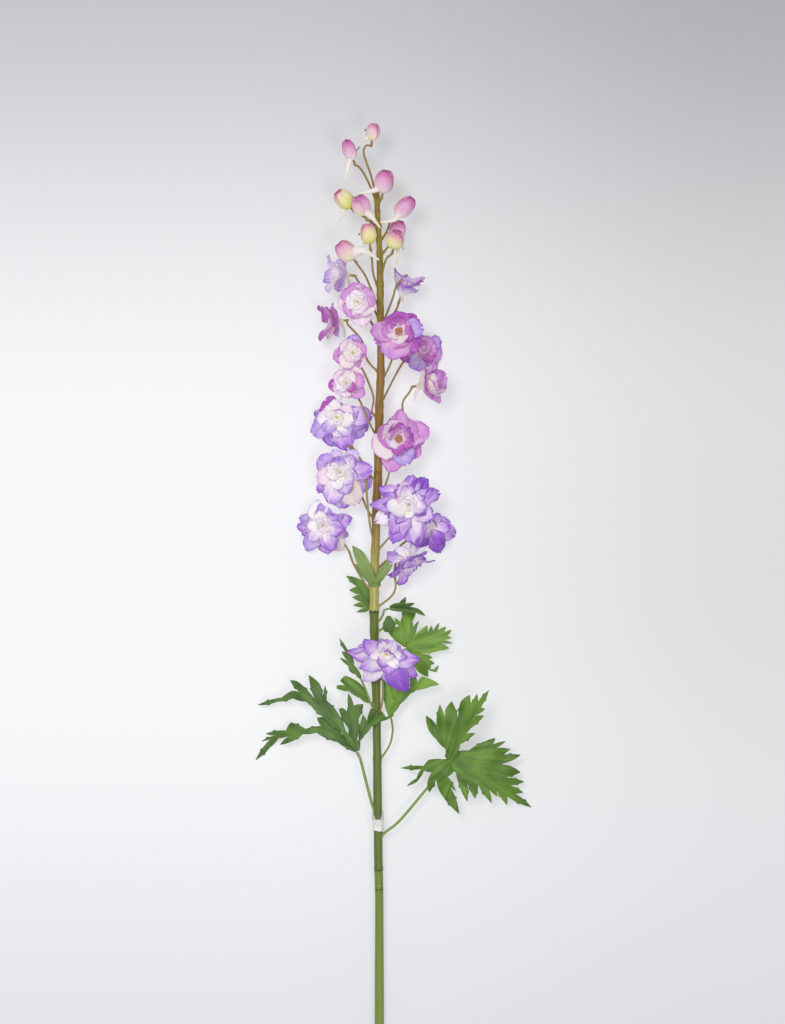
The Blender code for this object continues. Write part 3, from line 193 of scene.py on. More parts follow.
BUDS = {
    "bud_01": dict(base=(-6, 885, 12.5), tip=(-4, 899, 14), width=12, spur=[(-11, 886, 16.5),
                   (-14, 883, 17.5)]),
    "bud_02": dict(base=(-22, 869, 10), tip=(-28, 885, 12.5), width=11.5, spur=[(-26, 864, 11.5),
                   (-29, 851, 10)]),
    "bud_03": dict(base=(3, 841, 14.5), tip=(6, 859, 19.5), width=16.5, spur=[(-6, 842, 20),
                   (-19, 840, 19.5)]),
    "bud_04": dict(base=(-24, 829, 6.5), tip=(-35, 842, 12), width=15, spur=[(-31, 824, 9), (-33, 818, 8)]),
    "bud_05": dict(base=(-12, 822, 13), tip=(-18, 838, 16.5), width=15.5, spur=[(-6, 820, 20),
                   (1, 811, 16.5)]),
    "bud_06": dict(base=(15, 822, 10), tip=(28, 836, 15.5), width=14.5, spur=[(13, 818, 17),
                   (1, 816, 12.5)]),
    "bud_07": dict(base=(-8, 798, 6), tip=(-10.5, 815, 6.5), width=13.5, spur=[(-13, 797, 0),
                   (-15, 789, -4)]),
    "bud_08": dict(base=(14, 803, -4), tip=(17, 818, -1), width=14, spur=[(18, 802, -7), (21, 794, -9)]),
    "bud_09": dict(base=(12, 794, 14), tip=(15, 808, 20.5), width=16, spur=[(16, 792, 9), (15, 781, 6)]),
    "bud_10": dict(base=(-22, 785, 16.5), tip=(-34, 798, 19), width=16, spur=[(-14, 792, 22),
                   (0, 784, 17.5)]),
}

# Leaf stalks: root, points passed, end, and the way that the leaf sets off

PETIOLES = {
    "leaf_01": (309, [(-6, 322, 1), (-10, 337, 2.5), (-15.5, 359, 4.5)], (-19, 367, 5), (-0.5, 1, 0.1)),
    "leaf_02": (293, [(6, 299, 1), (18, 309, 2.5), (41, 336, -1.5)], (59, 357, 6), (0.3, 0.4, 0.85)),
    "leaf_03": (424, [(8, 437, -4.5), (16, 448, -7)], (22.5, 455, -7.5), (0.5, 1, 0)),
    "leaf_04": (472, [(-6, 480, -9.5)], (-8, 491, -6.5), (0, 0.4, 0.9)),
    "leaf_05": (473, [(3, 483, 3.5)], (8.5, 489, 4.5), (1, 0.3, 0.1)),
    "leaf_06": (401, [(-7, 408, 6.5), (-11.5, 420, 7)], (-16, 430, 6.5), (-0.5, 1, 0)),
    "leaf_07": (400, [(-4.5, 405, 4)], (-8.5, 409.5, 4.5), (-1, 0.5, 0.05)),
    "leaf_08": (358, [(2, 362, 0.5), (9, 373, 0), (11.5, 384.5, 0.5)], (10, 396, 0), (-0.2, 1, 0)),
    "leaf_09": (468, [(3, 472, 3)], (5, 478, 5.5), (0.2, 0.3, 0.9)),
}

# Lobes of each leaf: midrib, its heights over the stem, its arch and fold, and the cut edge

LEAVES = {
    "leaf_01": [
        dict(rib=[(-20, 369), (-72, 424)], heights=(6, 1), arch=7, fold=-0.12, outline=[
            (-17.5, 368), (-21, 376), (-28, 387), (-34, 398.5), (-43, 414), (-45.5, 423), (-46, 415.5),
            (-50, 424), (-59.5, 431.5), (-54, 413), (-69.5, 426.5), (-75.5, 427), (-67.5, 417.5),
            (-73, 418.5), (-86, 411.5), (-103, 406), (-86, 409), (-76.5, 411), (-63, 410),
            (-57.5, 406), (-46.5, 396), (-31.5, 384), (-22, 368)]),
        dict(rib=[(-20, 369), (-92, 382)], heights=(5.5, -10), arch=6, fold=-0.25, outline=[
            (-18, 371.5), (-26.5, 381.5), (-31.5, 385), (-43, 395.5), (-52.5, 395.5), (-50, 392.5),
            (-63, 390), (-74.5, 391.5), (-80, 387), (-96.5, 381.5), (-89, 380.5), (-100, 375),
            (-94, 376), (-105, 359), (-92.5, 370), (-86, 378), (-76, 381), (-84, 372.5), (-75, 375),
            (-65.5, 384), (-54, 386.5), (-36, 377), (-19.5, 366.5)]),
        dict(rib=[(-20, 369), (-26, 412)], heights=(6, 11), arch=2, fold=-0.2, outline=[
            (-22.5, 368), (-27.5, 388), (-34, 403), (-31, 404), (-28.5, 402.5), (-26.5, 406),
            (-26, 416.5), (-20.5, 408), (-13.5, 407), (-15.5, 396.5), (-18, 379), (-17.8, 368)]),
        dict(rib=[(-20, 369), (9, 397)], heights=(6, 14), arch=1, fold=-0.1, outline=[
            (-20.5, 370), (-18, 380), (-14, 398), (-12, 396.5), (-7, 404), (-1, 401), (1, 402),
            (5.5, 398.5), (12.5, 398), (2, 393), (-6.5, 391), (-12.5, 383), (-16, 378), (-17, 368)]),
    ],
    "leaf_02": [
        dict(rib=[(60, 359), (90, 416)], heights=(7.5, 21.5), arch=4, fold=0.15, outline=[
            (58, 357), (54.5, 372), (48.5, 378), (42, 386), (40, 398), (46, 393), (51.5, 407.5),
            (55.5, 387), (56, 402.5), (61.5, 410), (64.5, 397), (69, 410), (76.5, 415.5), (75, 405),
            (82.5, 416.5), (83.5, 412), (92.5, 419.5), (86, 405.5), (89.5, 403.5), (80.5, 398),
            (88.5, 398), (77.5, 387.5), (73.5, 383), (81, 383), (69, 374), (62.5, 358)]),
        dict(rib=[(60, 359), (125, 323)], heights=(7.5, -9.5), arch=6, fold=-0.1, outline=[
            (58.5, 358), (64.5, 366.5), (78.5, 371), (90, 376), (98, 378.5), (99, 376), (107, 376),
            (91.5, 368.5), (101, 370.5), (111, 369), (103, 366), (119.5, 364.5), (111.5, 359.5),
            (96, 358.5), (110, 355.5), (119.5, 349.5), (108.5, 348), (123, 341.5), (113.5, 340),
            (122, 332.5), (117, 331.5), (129.5, 319), (109, 329), (108, 322), (98.5, 338),
            (100, 329.5), (93.5, 333), (95, 324), (84, 338), (81, 328), (74, 341.5), (74.5, 325.5),
            (65, 347.5), (59, 356)]),
        dict(rib=[(60, 359), (36, 342)], heights=(8.5, 3.5), arch=3, fold=-0.1, outline=[
            (61, 361), (54.5, 361), (43, 360.5), (35, 357.5), (18.5, 353), (33, 354.5), (30, 345),
            (24, 338), (32.5, 341.5), (36, 352.5), (44.5, 350), (41.5, 341), (43, 333), (49, 342.5),
            (51, 335.5), (68, 315), (61, 335.5), (65, 334.5), (59.5, 343), (64.5, 348), (72, 346),
            (70, 355.5), (62, 359)]),
    ],
    "leaf_03": [
        dict(rib=[(24, 456), (24, 484)], heights=(-6.5, -8.5), arch=2, fold=0.1, outline=[
            (21.5, 456), (9, 467), (10, 471), (14.5, 474.5), (13, 480), (16, 478.5), (18, 483),
            (19.5, 486.5), (23.5, 484.5), (28.5, 485.5), (31, 484), (29.5, 479), (30.5, 474),
            (33.5, 477.5), (32, 473), (25.5, 456)]),
        dict(rib=[(24, 456), (58, 466)], heights=(-6, -4.5), arch=2, fold=0.1, outline=[
            (23, 457.5), (35.5, 470.5), (40.5, 474), (41, 469), (44, 474), (46, 472.5), (50.5, 476.5),
            (50, 472.5), (56, 473), (56, 470), (61, 470.5), (58, 465.5), (61, 463.5), (54.5, 462),
            (62, 459), (52.5, 459), (59, 455), (50, 453), (35.5, 451), (24, 454.5)]),
        dict(rib=[(24, 456), (45, 439)], heights=(-6.5, -10.5), arch=1, fold=-0.2, outline=[
            (25, 457.5), (36, 450), (41, 449.5), (44.5, 447), (43, 445.5), (46.5, 442.5), (44, 440.5),
            (43, 437), (46.5, 436.5), (50, 440.5), (48, 435), (41.5, 435), (41, 431), (35, 434),
            (31, 438), (23, 455)]),
    ],
    "leaf_04": [
        dict(rib=[(-8, 491), (-24, 512)], heights=(-5.5, -5.5), arch=0, fold=0.0, outline=[
            (-6, 490), (-11, 486), (-19, 486), (-14, 489.5), (-21.5, 491.5), (-16.5, 494.5),
            (-22.5, 498), (-17, 500.5), (-25, 504), (-19, 507.5), (-28, 516), (-17, 513.5),
            (-9, 506.5), (-5, 500)]),
    ],
    "leaf_05": [
        dict(rib=[(9, 489.5), (34, 487)], heights=(4.5, 6.5), arch=2, fold=0.3, outline=[
            (9, 488), (9, 491.2), (12, 493), (18, 495.5), (22, 498.5), (23.5, 495), (29.5, 493.5),
            (27, 491.5), (33, 488.5), (38.5, 483), (31.5, 485.5), (27, 485), (21.5, 485), (19, 486.5)]),
    ],
    "leaf_06": [
        dict(rib=[(-15.7, 430), (-31, 458)], heights=(6.5, 9.5), arch=1, fold=0.15, outline=[
            (-17, 429.5), (-20, 433), (-24.5, 435.5), (-28, 440.5), (-33, 447), (-26.5, 444),
            (-31.5, 452), (-28.5, 452), (-33.5, 463), (-27.5, 455), (-24, 451), (-21.5, 445),
            (-21.5, 441), (-17.5, 436), (-15, 430.5)]),
    ],
    "leaf_07": [
        dict(rib=[(-9, 410), (-33, 424)], heights=(5, 1.5), arch=2, fold=-0.12, outline=[
            (-8.8, 408.5), (-12, 409.5), (-16.5, 413), (-25.5, 418.5), (-35.5, 420.5), (-35, 423),
            (-28.5, 423.5), (-32.5, 427), (-28.5, 431), (-22, 428.5), (-14.5, 423), (-10, 416),
            (-8.8, 411)]),
    ],
    "leaf_08": [
        dict(rib=[(10, 397), (45, 424)], heights=(0, 4), arch=1, fold=0.1, outline=[
            (9.5, 396.5), (11.5, 413.5), (10.5, 421.5), (12.5, 431), (19, 424.5), (25, 424),
            (28, 434), (31.5, 430), (35.5, 430.5), (40, 429.5), (50.5, 424), (43.5, 422.5),
            (32, 421.5), (26, 416), (18, 409.5), (12.5, 400), (11, 396.5)]),
        dict(rib=[(10, 397), (5, 430)], heights=(0, -3), arch=1, fold=0.0, outline=[
            (8.5, 396.5), (5, 407), (4, 417), (3.5, 427), (5, 433.5), (7, 428), (9.5, 426.5),
            (11.5, 416), (11, 397)]),
    ],
    "leaf_09": [
        dict(rib=[(5, 479), (8, 469)], heights=(6.5, 5.5), arch=0, fold=0.0, outline=[
            (4.5, 479), (6.5, 482.5), (9, 483), (12, 479.5), (14, 476.5), (9.5, 471), (7.5, 469.5),
            (4, 470.5), (3.2, 475)]),
    ],
}

BRACTS = [
    dict(rib=[(-4, 512), (-23, 542)], heights=(5.5, 6.5), arch=3, fold=0.12, outline=[
        (-2, 510.5), (-6, 510.5), (-12, 517), (-18, 526), (-23, 542.5), (-14.5, 538), (-8.5, 528.5),
        (-4.5, 518.5)]),
    dict(rib=[(-4, 512), (12, 531)], heights=(6, 8.5), arch=2, fold=0.12, outline=[
        (-5, 510.5), (-1, 519.5), (5, 528), (12.5, 532), (11.5, 526), (6, 517.5), (0, 510.5)]),
    dict(rib=[(-4, 512), (-20, 526)], heights=(5, 0.5), arch=1, fold=0.12, outline=[
        (-4, 509), (-9, 511), (-15, 517), (-20.5, 527), (-13, 524), (-6, 515.5)]),
]

# Sheath of the bracts: places along the stem, and how far it stands out from it

SHEATH = [(507.6, 0.7), (508.2, 1.2), (509.5, 1.3), (511.0, 1.25), (512.6, 1.2), (514.0, 1.3), (514.6, 0.9)]

# Finish of each leaf, and a slot name that nothing here reads

LEAF_DRESS = {
    "leaf_01": ("leaf deep", "leaf_deep"),
    "leaf_02": ("leaf light", "leaf_light"),
    "leaf_03": ("leaf bright", "leaf_light"),
    "leaf_04": ("leaf light", "leaf_deep"),
    "leaf_05": ("leaf deep", "leaf_deep"),
    "leaf_06": ("leaf deep", "leaf_deep"),
    "leaf_07": ("leaf light", "leaf_light"),
    "leaf_08": ("leaf bright", "leaf_light"),
    "leaf_09": ("leaf deep", "leaf_deep"),
}

# Colours of the cloth: base, middle, edge and rim of a petal, how far the base spreads, its blue patches

PALETTES = {
    "V": ((242, 234, 232), (206, 174, 228), (148, 86, 200), (108, 52, 162), 0.24, 0.22),
    "T": ((243, 236, 233), (218, 196, 232), (152, 92, 203), (112, 56, 165), 0.36, 0.18),
    "D": ((214, 190, 210), (158, 108, 202), (126, 68, 180), (94, 44, 146), 0.06, 0.15),
    "L": ((238, 232, 228), (204, 182, 228), (160, 118, 210), (126, 76, 182), 0.24, 0.5),
    "P": ((240, 232, 224), (226, 210, 232), (196, 168, 222), (160, 120, 196), 0.32, 0.4),
    "W": ((242, 237, 227), (243, 238, 242), (226, 206, 236), (182, 136, 208), 0.36, 0.1),
    "B": ((240, 228, 214), (240, 221, 232), (224, 188, 222), (186, 128, 190), 0.3, 0.1),
    "K": ((240, 222, 218), (224, 176, 216), (196, 128, 202), (150, 74, 160), 0.18, 0.3),
    "M": ((230, 192, 206), (204, 128, 194), (172, 84, 178), (122, 40, 130), 0.06, 0.2),
    "N": ((230, 200, 210), (206, 146, 204), (186, 112, 192), (146, 70, 156), 0.12, 0.95),
    "Q": ((242, 234, 222), (238, 222, 228), (218, 168, 210), (178, 108, 176), 0.45, 0.1),
    "E": ((216, 202, 182), (224, 208, 206), (214, 190, 208), (172, 142, 172), 0.4, 0.1),
    "C": ((236, 228, 198), (243, 238, 228), (240, 233, 236), (214, 190, 214), 0.26, 0.0),
    "S": ((238, 230, 182), (236, 196, 206), (206, 118, 176), (144, 42, 104), 0.26, 0.0),
    "F": ((240, 234, 222), (228, 184, 212), (202, 110, 174), (140, 40, 106), 0.16, 0.0),
    "G": ((214, 214, 124), (232, 222, 168), (218, 134, 178), (146, 44, 104), 0.22, 0.0),
    "Y": ((212, 214, 122), (230, 226, 164), (228, 178, 190), (150, 66, 110), 0.4, 0.0),
    "R": ((226, 198, 152), (216, 146, 182), (190, 92, 152), (128, 48, 98), 0.02, 0.0),
}

# Looks and widths of the long petals, short petals, looks of those between and on top, and the knot

DRESS = {
    "bloom_14": ("VVWVVTVVB", (15, 13, 19, 17, 21, 17, 12, 18, 14), [(172, 14, 10, "B"), (98, 18, 12, "T"),
                 (40, 12, 9, "W"), (-18, 18, 13, "T"), (-95, 13, 10, "C"), (203, 22, 17, "W"),
                 (140, 12, 9, "B"), (272, 35, 19, "T"), (250, 33, 16, "V"), (84, 26, 15, "V"),
                 (58, 28, 15, "D"), (20, 27, 14, "V")], "VV", "dark"),
    "bloom_17": ("VVVVDPVL", (14, 18, 15, 16, 19, 16, 15, 13), [(245, 12, 11, "V"), (5, 14, 9, "W"),
                 (60, 12, 9, "P"), (118, 12, 9, "W"), (176, 14, 10, "W"), (-50, 14, 9, "W")], "TV",
                 "yellow"),
    "bloom_12": ("VWVVVLE", (12, 17, 13, 13, 15, 14, 17), [(185, 12, 9, "W"), (100, 13, 10, "W"),
                 (-15, 19, 14, "V"), (-72, 21, 14, "V"), (225, 18, 9, "T"), (35, 16, 10, "L")], "LT",
                 "dark"),
    "bloom_11": ("LBVTTELV", (17, 13, 11, 16, 18, 19, 19, 15), [(98, 14, 14, "L"), (150, 13, 11, "W"),
                 (200, 13, 10, "W"), (20, 14, 12, "W"), (-40, 16, 13, "P"), (55, 13, 10, "C"),
                 (255, 16, 11, "W")], "PT", "yellow"),
    "bloom_10": ("MVLVVLVL", (16, 13, 14, 16, 16, 19, 15, 14), [(185, 17, 13, "W"), (33, 15, 13, "B"),
                 (-20, 14, 13, "W"), (232, 18, 12, "L"), (-75, 17, 13, "W"), (100, 14, 11, "W"),
                 (145, 12, 10, "W")], "LT", "yellow"),
    "bloom_05": ("MMLMKNKM", (20, 17, 16, 17, 24, 16, 16, 16), [(100, 14, 14, "M"), (42, 14, 13, "K"),
                 (-18, 15, 14, "M"), (-88, 13, 15, "Q"), (205, 13, 12, "B"), (152, 13, 12, "K"),
                 (60, 9, 8, "B"), (-50, 9, 8, "W"), (180, 9, 8, "W"), (222, 26, 6, "K"), (187, 28, 14, "N"),
                 (-52, 26, 13, "M")], "KK", "rust"),
    "bloom_13": ("BQKKKLKK", (19, 22, 13, 19, 18, 17, 17, 16), [(172, 14, 13, "B"), (100, 17, 14, "M"),
                 (36, 16, 14, "M"), (-15, 15, 13, "M"), (-98, 17, 12, "M"), (222, 12, 10, "W")], "KK",
                 "rust"),
    "bloom_02": ("KKQKBQK", (15, 15, 16, 15, 16, 16, 16), [(102, 11, 11, "W"), (162, 12, 11, "W"),
                 (222, 12, 11, "W"), (-75, 12, 12, "W"), (-28, 14, 12, "B"), (22, 11, 10, "W"),
                 (62, 12, 10, "B")], "BQ", "yellow"),
    "bloom_08": ("LQKQQK", (12, 12, 13, 13, 12, 11), [(100, 10, 9, "B"), (178, 10, 9, "Q"),
                 (240, 11, 10, "B"), (0, 10, 9, "B"), (-60, 11, 10, "Q")], "KQ", "yellow"),
    "bloom_09": ("MQKKBB", (10, 15, 13, 12, 12, 13), [(62, 11, 12, "Q"), (150, 10, 9, "W"),
                 (222, 10, 9, "W"), (-45, 12, 9, "M"), (5, 10, 9, "W")], "BQ", "yellow"),
    "bloom_06": ("KVKLKML", (14, 15, 15, 14, 14, 14, 14), [(60, 13, 11, "K"), (0, 13, 11, "K"),
                 (-60, 13, 11, "M"), (120, 12, 10, "L")], "KK", "pink"),
    "bloom_15": ("DVVDVDV", (11, 12, 15, 15, 13, 11, 12), [(0, 15, 10, "V"), (-60, 16, 11, "D"),
                 (60, 13, 9, "V"), (150, 12, 9, "T")], "DV", None),
    "bloom_16": ("VTVDVT", (13, 14, 13, 14, 14, 13), [(122, 17, 12, "W"), (165, 18, 12, "L"),
                 (205, 17, 11, "W"), (60, 16, 11, "T"), (290, 15, 10, "D")], "VT", None),
    "bloom_07": ("QKBQQK", (17, 16, 17, 17, 17, 16), [(30, 21, 16, "K"), (110, 21, 16, "K"),
                 (190, 21, 15, "Q"), (280, 21, 16, "K"), (70, 14, 12, "M"), (240, 14, 12, "M"),
                 (95, 25, 17, "K"), (130, 24, 15, "Q")], "KQ", None),
    "bloom_01": ("PLPKL", (13, 14, 14, 14, 13), [(75, 21, 13, "P"), (350, 19, 13, "W"), (275, 22, 12, "P"),
                 (190, 20, 12, "L")], "PP", None),
    "bloom_03": ("MPMKQL", (13, 13, 13, 13, 13, 13), [(72, 21, 14, "M"), (350, 18, 12, "W"),
                 (285, 21, 14, "M"), (95, 18, 11, "K")], "KK", None),
    "bloom_04": ("PLQKPL", (13, 13, 13, 13, 13, 13), [(268, 12, 13, "K"), (318, 20, 16, "P"),
                 (212, 21, 15, "V"), (350, 20, 13, "M")], "LK", None),
}

# Knot in the heart: looks of its petals, how far they open, then its stamens: count, size, height, reach

KNOTS = {
    "dark": ("WCW", 46.0, 6, 0.2, 3.0, 1.3),
    "yellow": ("CWC", 46.0, 10, 0.36, 2.6, 1.3),
    "rust": ("WBB", 62.0, 30, 0.5, 4.6, 3.1),
    "pink": ("KBK", 46.0, 5, 0.2, 2.0, 1.3),
}

# Sepals as (turn from the side that faces up, look), and how wide the horn starts as a share of the bud

SEPALS = {
    "bud_01": ((180, "S"), (110, "S"), (-100, "S"), (-40, "S"), 0.3),
    "bud_02": ((180, "F"), (95, "S"), (-100, "F"), (-18, "F"), 0.72),
    "bud_03": ((180, "S"), (-110, "F"), (100, "G"), (-22, "F"), 0.5),
    "bud_04": ((180, "G"), (110, "G"), (-110, "G"), (35, "Y"), 0.3),
    "bud_05": ((180, "S"), (110, "F"), (25, "F"), (-75, "S"), 0.6),
    "bud_06": ((180, "F"), (110, "S"), (-110, "G"), (20, "F"), 0.55),
    "bud_07": ((180, "G"), (110, "G"), (-110, "G"), (25, "G"), 0.3),
    "bud_08": ((180, "S"), (110, "F"), (-110, "F"), (20, "F"), 0.3),
    "bud_09": ((180, "G"), (-110, "G"), (110, "G"), (-25, "G"), 0.3),
    "bud_10": ((180, "F"), (-110, "F"), (100, "G"), (-18, "S"), 0.92),
}

# Bends in degrees and shares of the length that are tried to find a petal on its solid

BENDS = (0, -9, 9, -18, 18, -27, 27, -38, 38, -50, 50, -64, 64)
SHORTER = (1.0, 0.85, 0.7, 0.55)

# How much longer the long petals are than their solids, and those up the stem where a middle is moved

LONG_DRAWN = 1.05
UP_DRAWN = 1.17


# Places along the plant

def interpolate(table, at):
    """Value of a table of (place, value) pairs, eased between its places."""
    for (x0, v0), (x1, v1) in zip(table, table[1:]):
        if at <= x1:
            t = min(max((at - x0) / (x1 - x0), 0.0), 1.0)
            return v0 + (v1 - v0) * (t * t * (3.0 - 2.0 * t))
    return table[-1][1]


def stem_point(along):
    """Centre of the stem at a length along the plant."""
    return Vector((interpolate(STEM_BOW, along), along, STEM_REST + STEM_SLOPE * along))


def above_stem(point):
    """Plant point from a table, whose height is over the stem's centre."""
    x, y, height = point
    return Vector((x, y, STEM_REST + STEM_SLOPE * y + height))


def smooth_path(points, step):
    """Points about a step apart on a smooth curve through the given ones."""
    pts = [Vector(p) for p in points]
    ends = [2 * pts[0] - pts[1]] + pts + [2 * pts[-1] - pts[-2]]
    path = [pts[0]]
    for i in range(1, len(ends) - 2):
        p0, p1, p2, p3 = ends[i - 1:i + 3]
        count = max(1, round((p2 - p1).length / step))
        for k in range(1, count + 1):
            t = k / count
            a = 2 * p1 + (p2 - p0) * t
            b = (2 * p0 - 5 * p1 + 4 * p2 - p3) * t * t
            c = (3 * p1 - p0 - 3 * p2 + p3) * t * t * t
            path.append((a + b + c) * 0.5)
    return path


def node_points(name):
    """Vertices of a node of the frame, in metres."""
    mesh = NODES[name].data
    co = np.empty(len(mesh.vertices) * 3)
    mesh.vertices.foreach_get("co", co)
    return co.reshape(-1, 3)


def plant_origin():
    """Where the plant's own frame starts, read from the cut end of the lower stem."""
    co = node_points("lower_stem")
    end = co[co[:, 1] < co[:, 1].min() + 1.0 * MM]
    return (end.min(0) + end.max(0)) / 2 - np.array((0.0, 0.0, STEM_REST)) * MM


def node_tree(name):
    """Search tree of a node's surface, in plant millimetres."""
    co = (node_points(name) - ORIGIN) / MM
    return BVHTree.FromPolygons(co.tolist(), [tuple(p.vertices) for p in NODES[name].data.polygons])


def matrix_points(matrix, points):
    """Points of an array moved by a matrix."""
    m = np.array(matrix)
    return points @ m[:3, :3].T + m[:3, 3]


def polar(angle, out, height):
    """Point at an angle round the z axis."""
    return Vector((math.cos(angle) * out, math.sin(angle) * out, height))


ORIGIN = plant_origin()


# Meshes

class Sheaf:
    """Gathers strips of surface, with a place on the cloth and a finish for each."""

    def __init__(self):
        self.points, self.faces, self.uvs, self.finish, self.names = [], [], [], [], []
        self.count = 0

    def add(self, points, faces, uv, finish):
        """Add faces that count their points from the ones already there."""
        if finish not in self.names:
            self.names.append(finish)
        self.faces += faces
        self.uvs.append(uv)
        self.finish += [self.names.index(finish)] * len(faces)
        self.points.append(points)
        self.count += len(points)

    def grid(self, points, uv, finish, closed=False):
        """Add a grid of points, closed round its second direction if asked."""
        rows, cols = points.shape[:2]
        r, c = np.meshgrid(np.arange(rows - 1), np.arange(cols if closed else cols - 1), indexing="ij")
        corners = [(r, c), (r, c + 1), (r + 1, c + 1), (r + 1, c)]
        faces = np.stack([self.count + a * cols + b % cols for a, b in corners], -1).reshape(-1, 4)
        places = np.stack([uv[a, b] for a, b in corners], -2).reshape(-1, 2)
        self.add(points.reshape(-1, 3), faces.tolist(), places, finish)

    def patch(self, points, faces, uv, finish):
        """Add loose faces with a place on the cloth for each point."""
        shifted = [[self.count + i for i in face] for face in faces]
        self.add(points, shifted, uv[[i for face in faces for i in face]], finish)

    def piece(self, node, suffix, thickness=0.0):
        """The piece that stands for a node of the frame."""
        name = f"{node}_{suffix}"
        mesh = bpy.data.meshes.new(name)
        co = np.concatenate(self.points) * MM + ORIGIN
        mesh.from_pydata(co.tolist(), [], self.faces)
        layer = mesh.uv_layers.new(name="blade")
        layer.data.foreach_set("uv", np.concatenate(self.uvs).ravel())
        for finish in self.names:
            mesh.materials.append(materials()[finish])
        mesh.polygons.foreach_set("material_index", self.finish)
        mesh.shade_smooth()
        obj = bpy.data.objects.new(name, mesh)
        bpy.context.scene.collection.objects.link(obj)
        if thickness:
            skin = obj.modifiers.new("cloth", "SOLIDIFY")
            skin.thickness = thickness * MM
            skin.offset = 0.0
        else:
            face_outward(mesh)
        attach(obj, "root")
        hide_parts(node)


def face_outward(mesh):
    """Turn the faces of closed forms outward."""
    bm = bmesh.new()
    bm.from_mesh(mesh)
    bmesh.ops.recalc_face_normals(bm, faces=bm.faces)
    bm.to_mesh(mesh)
    bm.free()


def tube_grid(path, radii, sides, ridges=0.0, count=5, twist=0.0):
    """Points round a path, with ridges along it, closed by small end rings."""
    p = np.array([tuple(q) for q in path])
    tangent = np.gradient(p, axis=0)
    tangent /= np.linalg.norm(tangent, axis=1)[:, None]
    side = np.zeros_like(p)
    start = np.cross(tangent[0], (0.0, 0.0, 1.0))
    if np.linalg.norm(start) < 0.2:
        start = np.array((1.0, 0.0, 0.0))
    for i, t in enumerate(tangent):
        start = start - t * start.dot(t)
        start /= np.linalg.norm(start)
        side[i] = start
    other = np.cross(side, tangent)
    angle = np.linspace(0, 2 * np.pi, sides, endpoint=False)
    turn = np.arange(len(p))[:, None] * twist
    r = np.array(radii)[:, None] * (1.0 + ridges * np.cos(count * angle + turn))
    ring = side[:, None] * (np.cos(angle) * r)[..., None]
    ring = ring + other[:, None] * (np.sin(angle) * r)[..., None]
    ends = [p[i] + ring[i] * 0.02 for i in (0, -1)]
    return np.concatenate([ends[0][None], p[:, None] + ring, ends[1][None]])


def tube_uv(grid, start=0.0):
    """Places on a tube's skin: centimetres along it, and turns round it."""
    rows, cols = grid.shape[:2]
    steps = np.linalg.norm(np.diff(grid.mean(1), axis=0), axis=1)
    uv = np.zeros((rows, cols + 1, 2))
    uv[..., 0] = start + (np.concatenate([[0.0], np.cumsum(steps)]) / 10.0)[:, None]
    uv[..., 1] = np.linspace(0, 1, cols + 1)
    return uv


def add_tube(sheaf, path, radii, finish, sides=10, **shape):
    """Put a tube into a sheaf."""
    grid = tube_grid(path, radii, sides, **shape)
    sheaf.grid(grid, tube_uv(grid, start=7.0 * sheaf.count % 97), finish, closed=True)


# Petals

PETAL_NUMBERS = itertools.count()
FULL_TURN = 6.28


def spread(rows, cols):
    """Shares along a blade from 0 to 1, and across it from -1 to 1."""
    return np.meshgrid(np.linspace(0, 1, rows), np.linspace(-1, 1, cols), indexing="ij")


def petal_uv(rows, cols, first=0.001, last=0.999):
    """Places on a fresh petal, numbered so that no two have the same markings."""
    uv = np.zeros((rows, cols, 2))
    uv[..., 0] = np.linspace(first, last, rows)[:, None] + 2 * next(PETAL_NUMBERS)
    uv[..., 1] = np.linspace(-1, 1, cols)
    return uv


def half_width(u, pointed):
    """Share of the full width along a petal, with a round or a drawn-out end."""
    swell = 0.15 + 0.85 * np.sin(np.clip(u / 0.6, 0, 1) * math.pi / 2) ** 1.25
    if pointed:
        return swell * (1 - 0.95 * np.clip((u - 0.42) / 0.58, 0, 1) ** 1.7) ** 0.72
    return swell * np.sqrt(1 - 0.93 * np.clip((u - 0.52) / 0.48, 0, 1) ** 2.6)


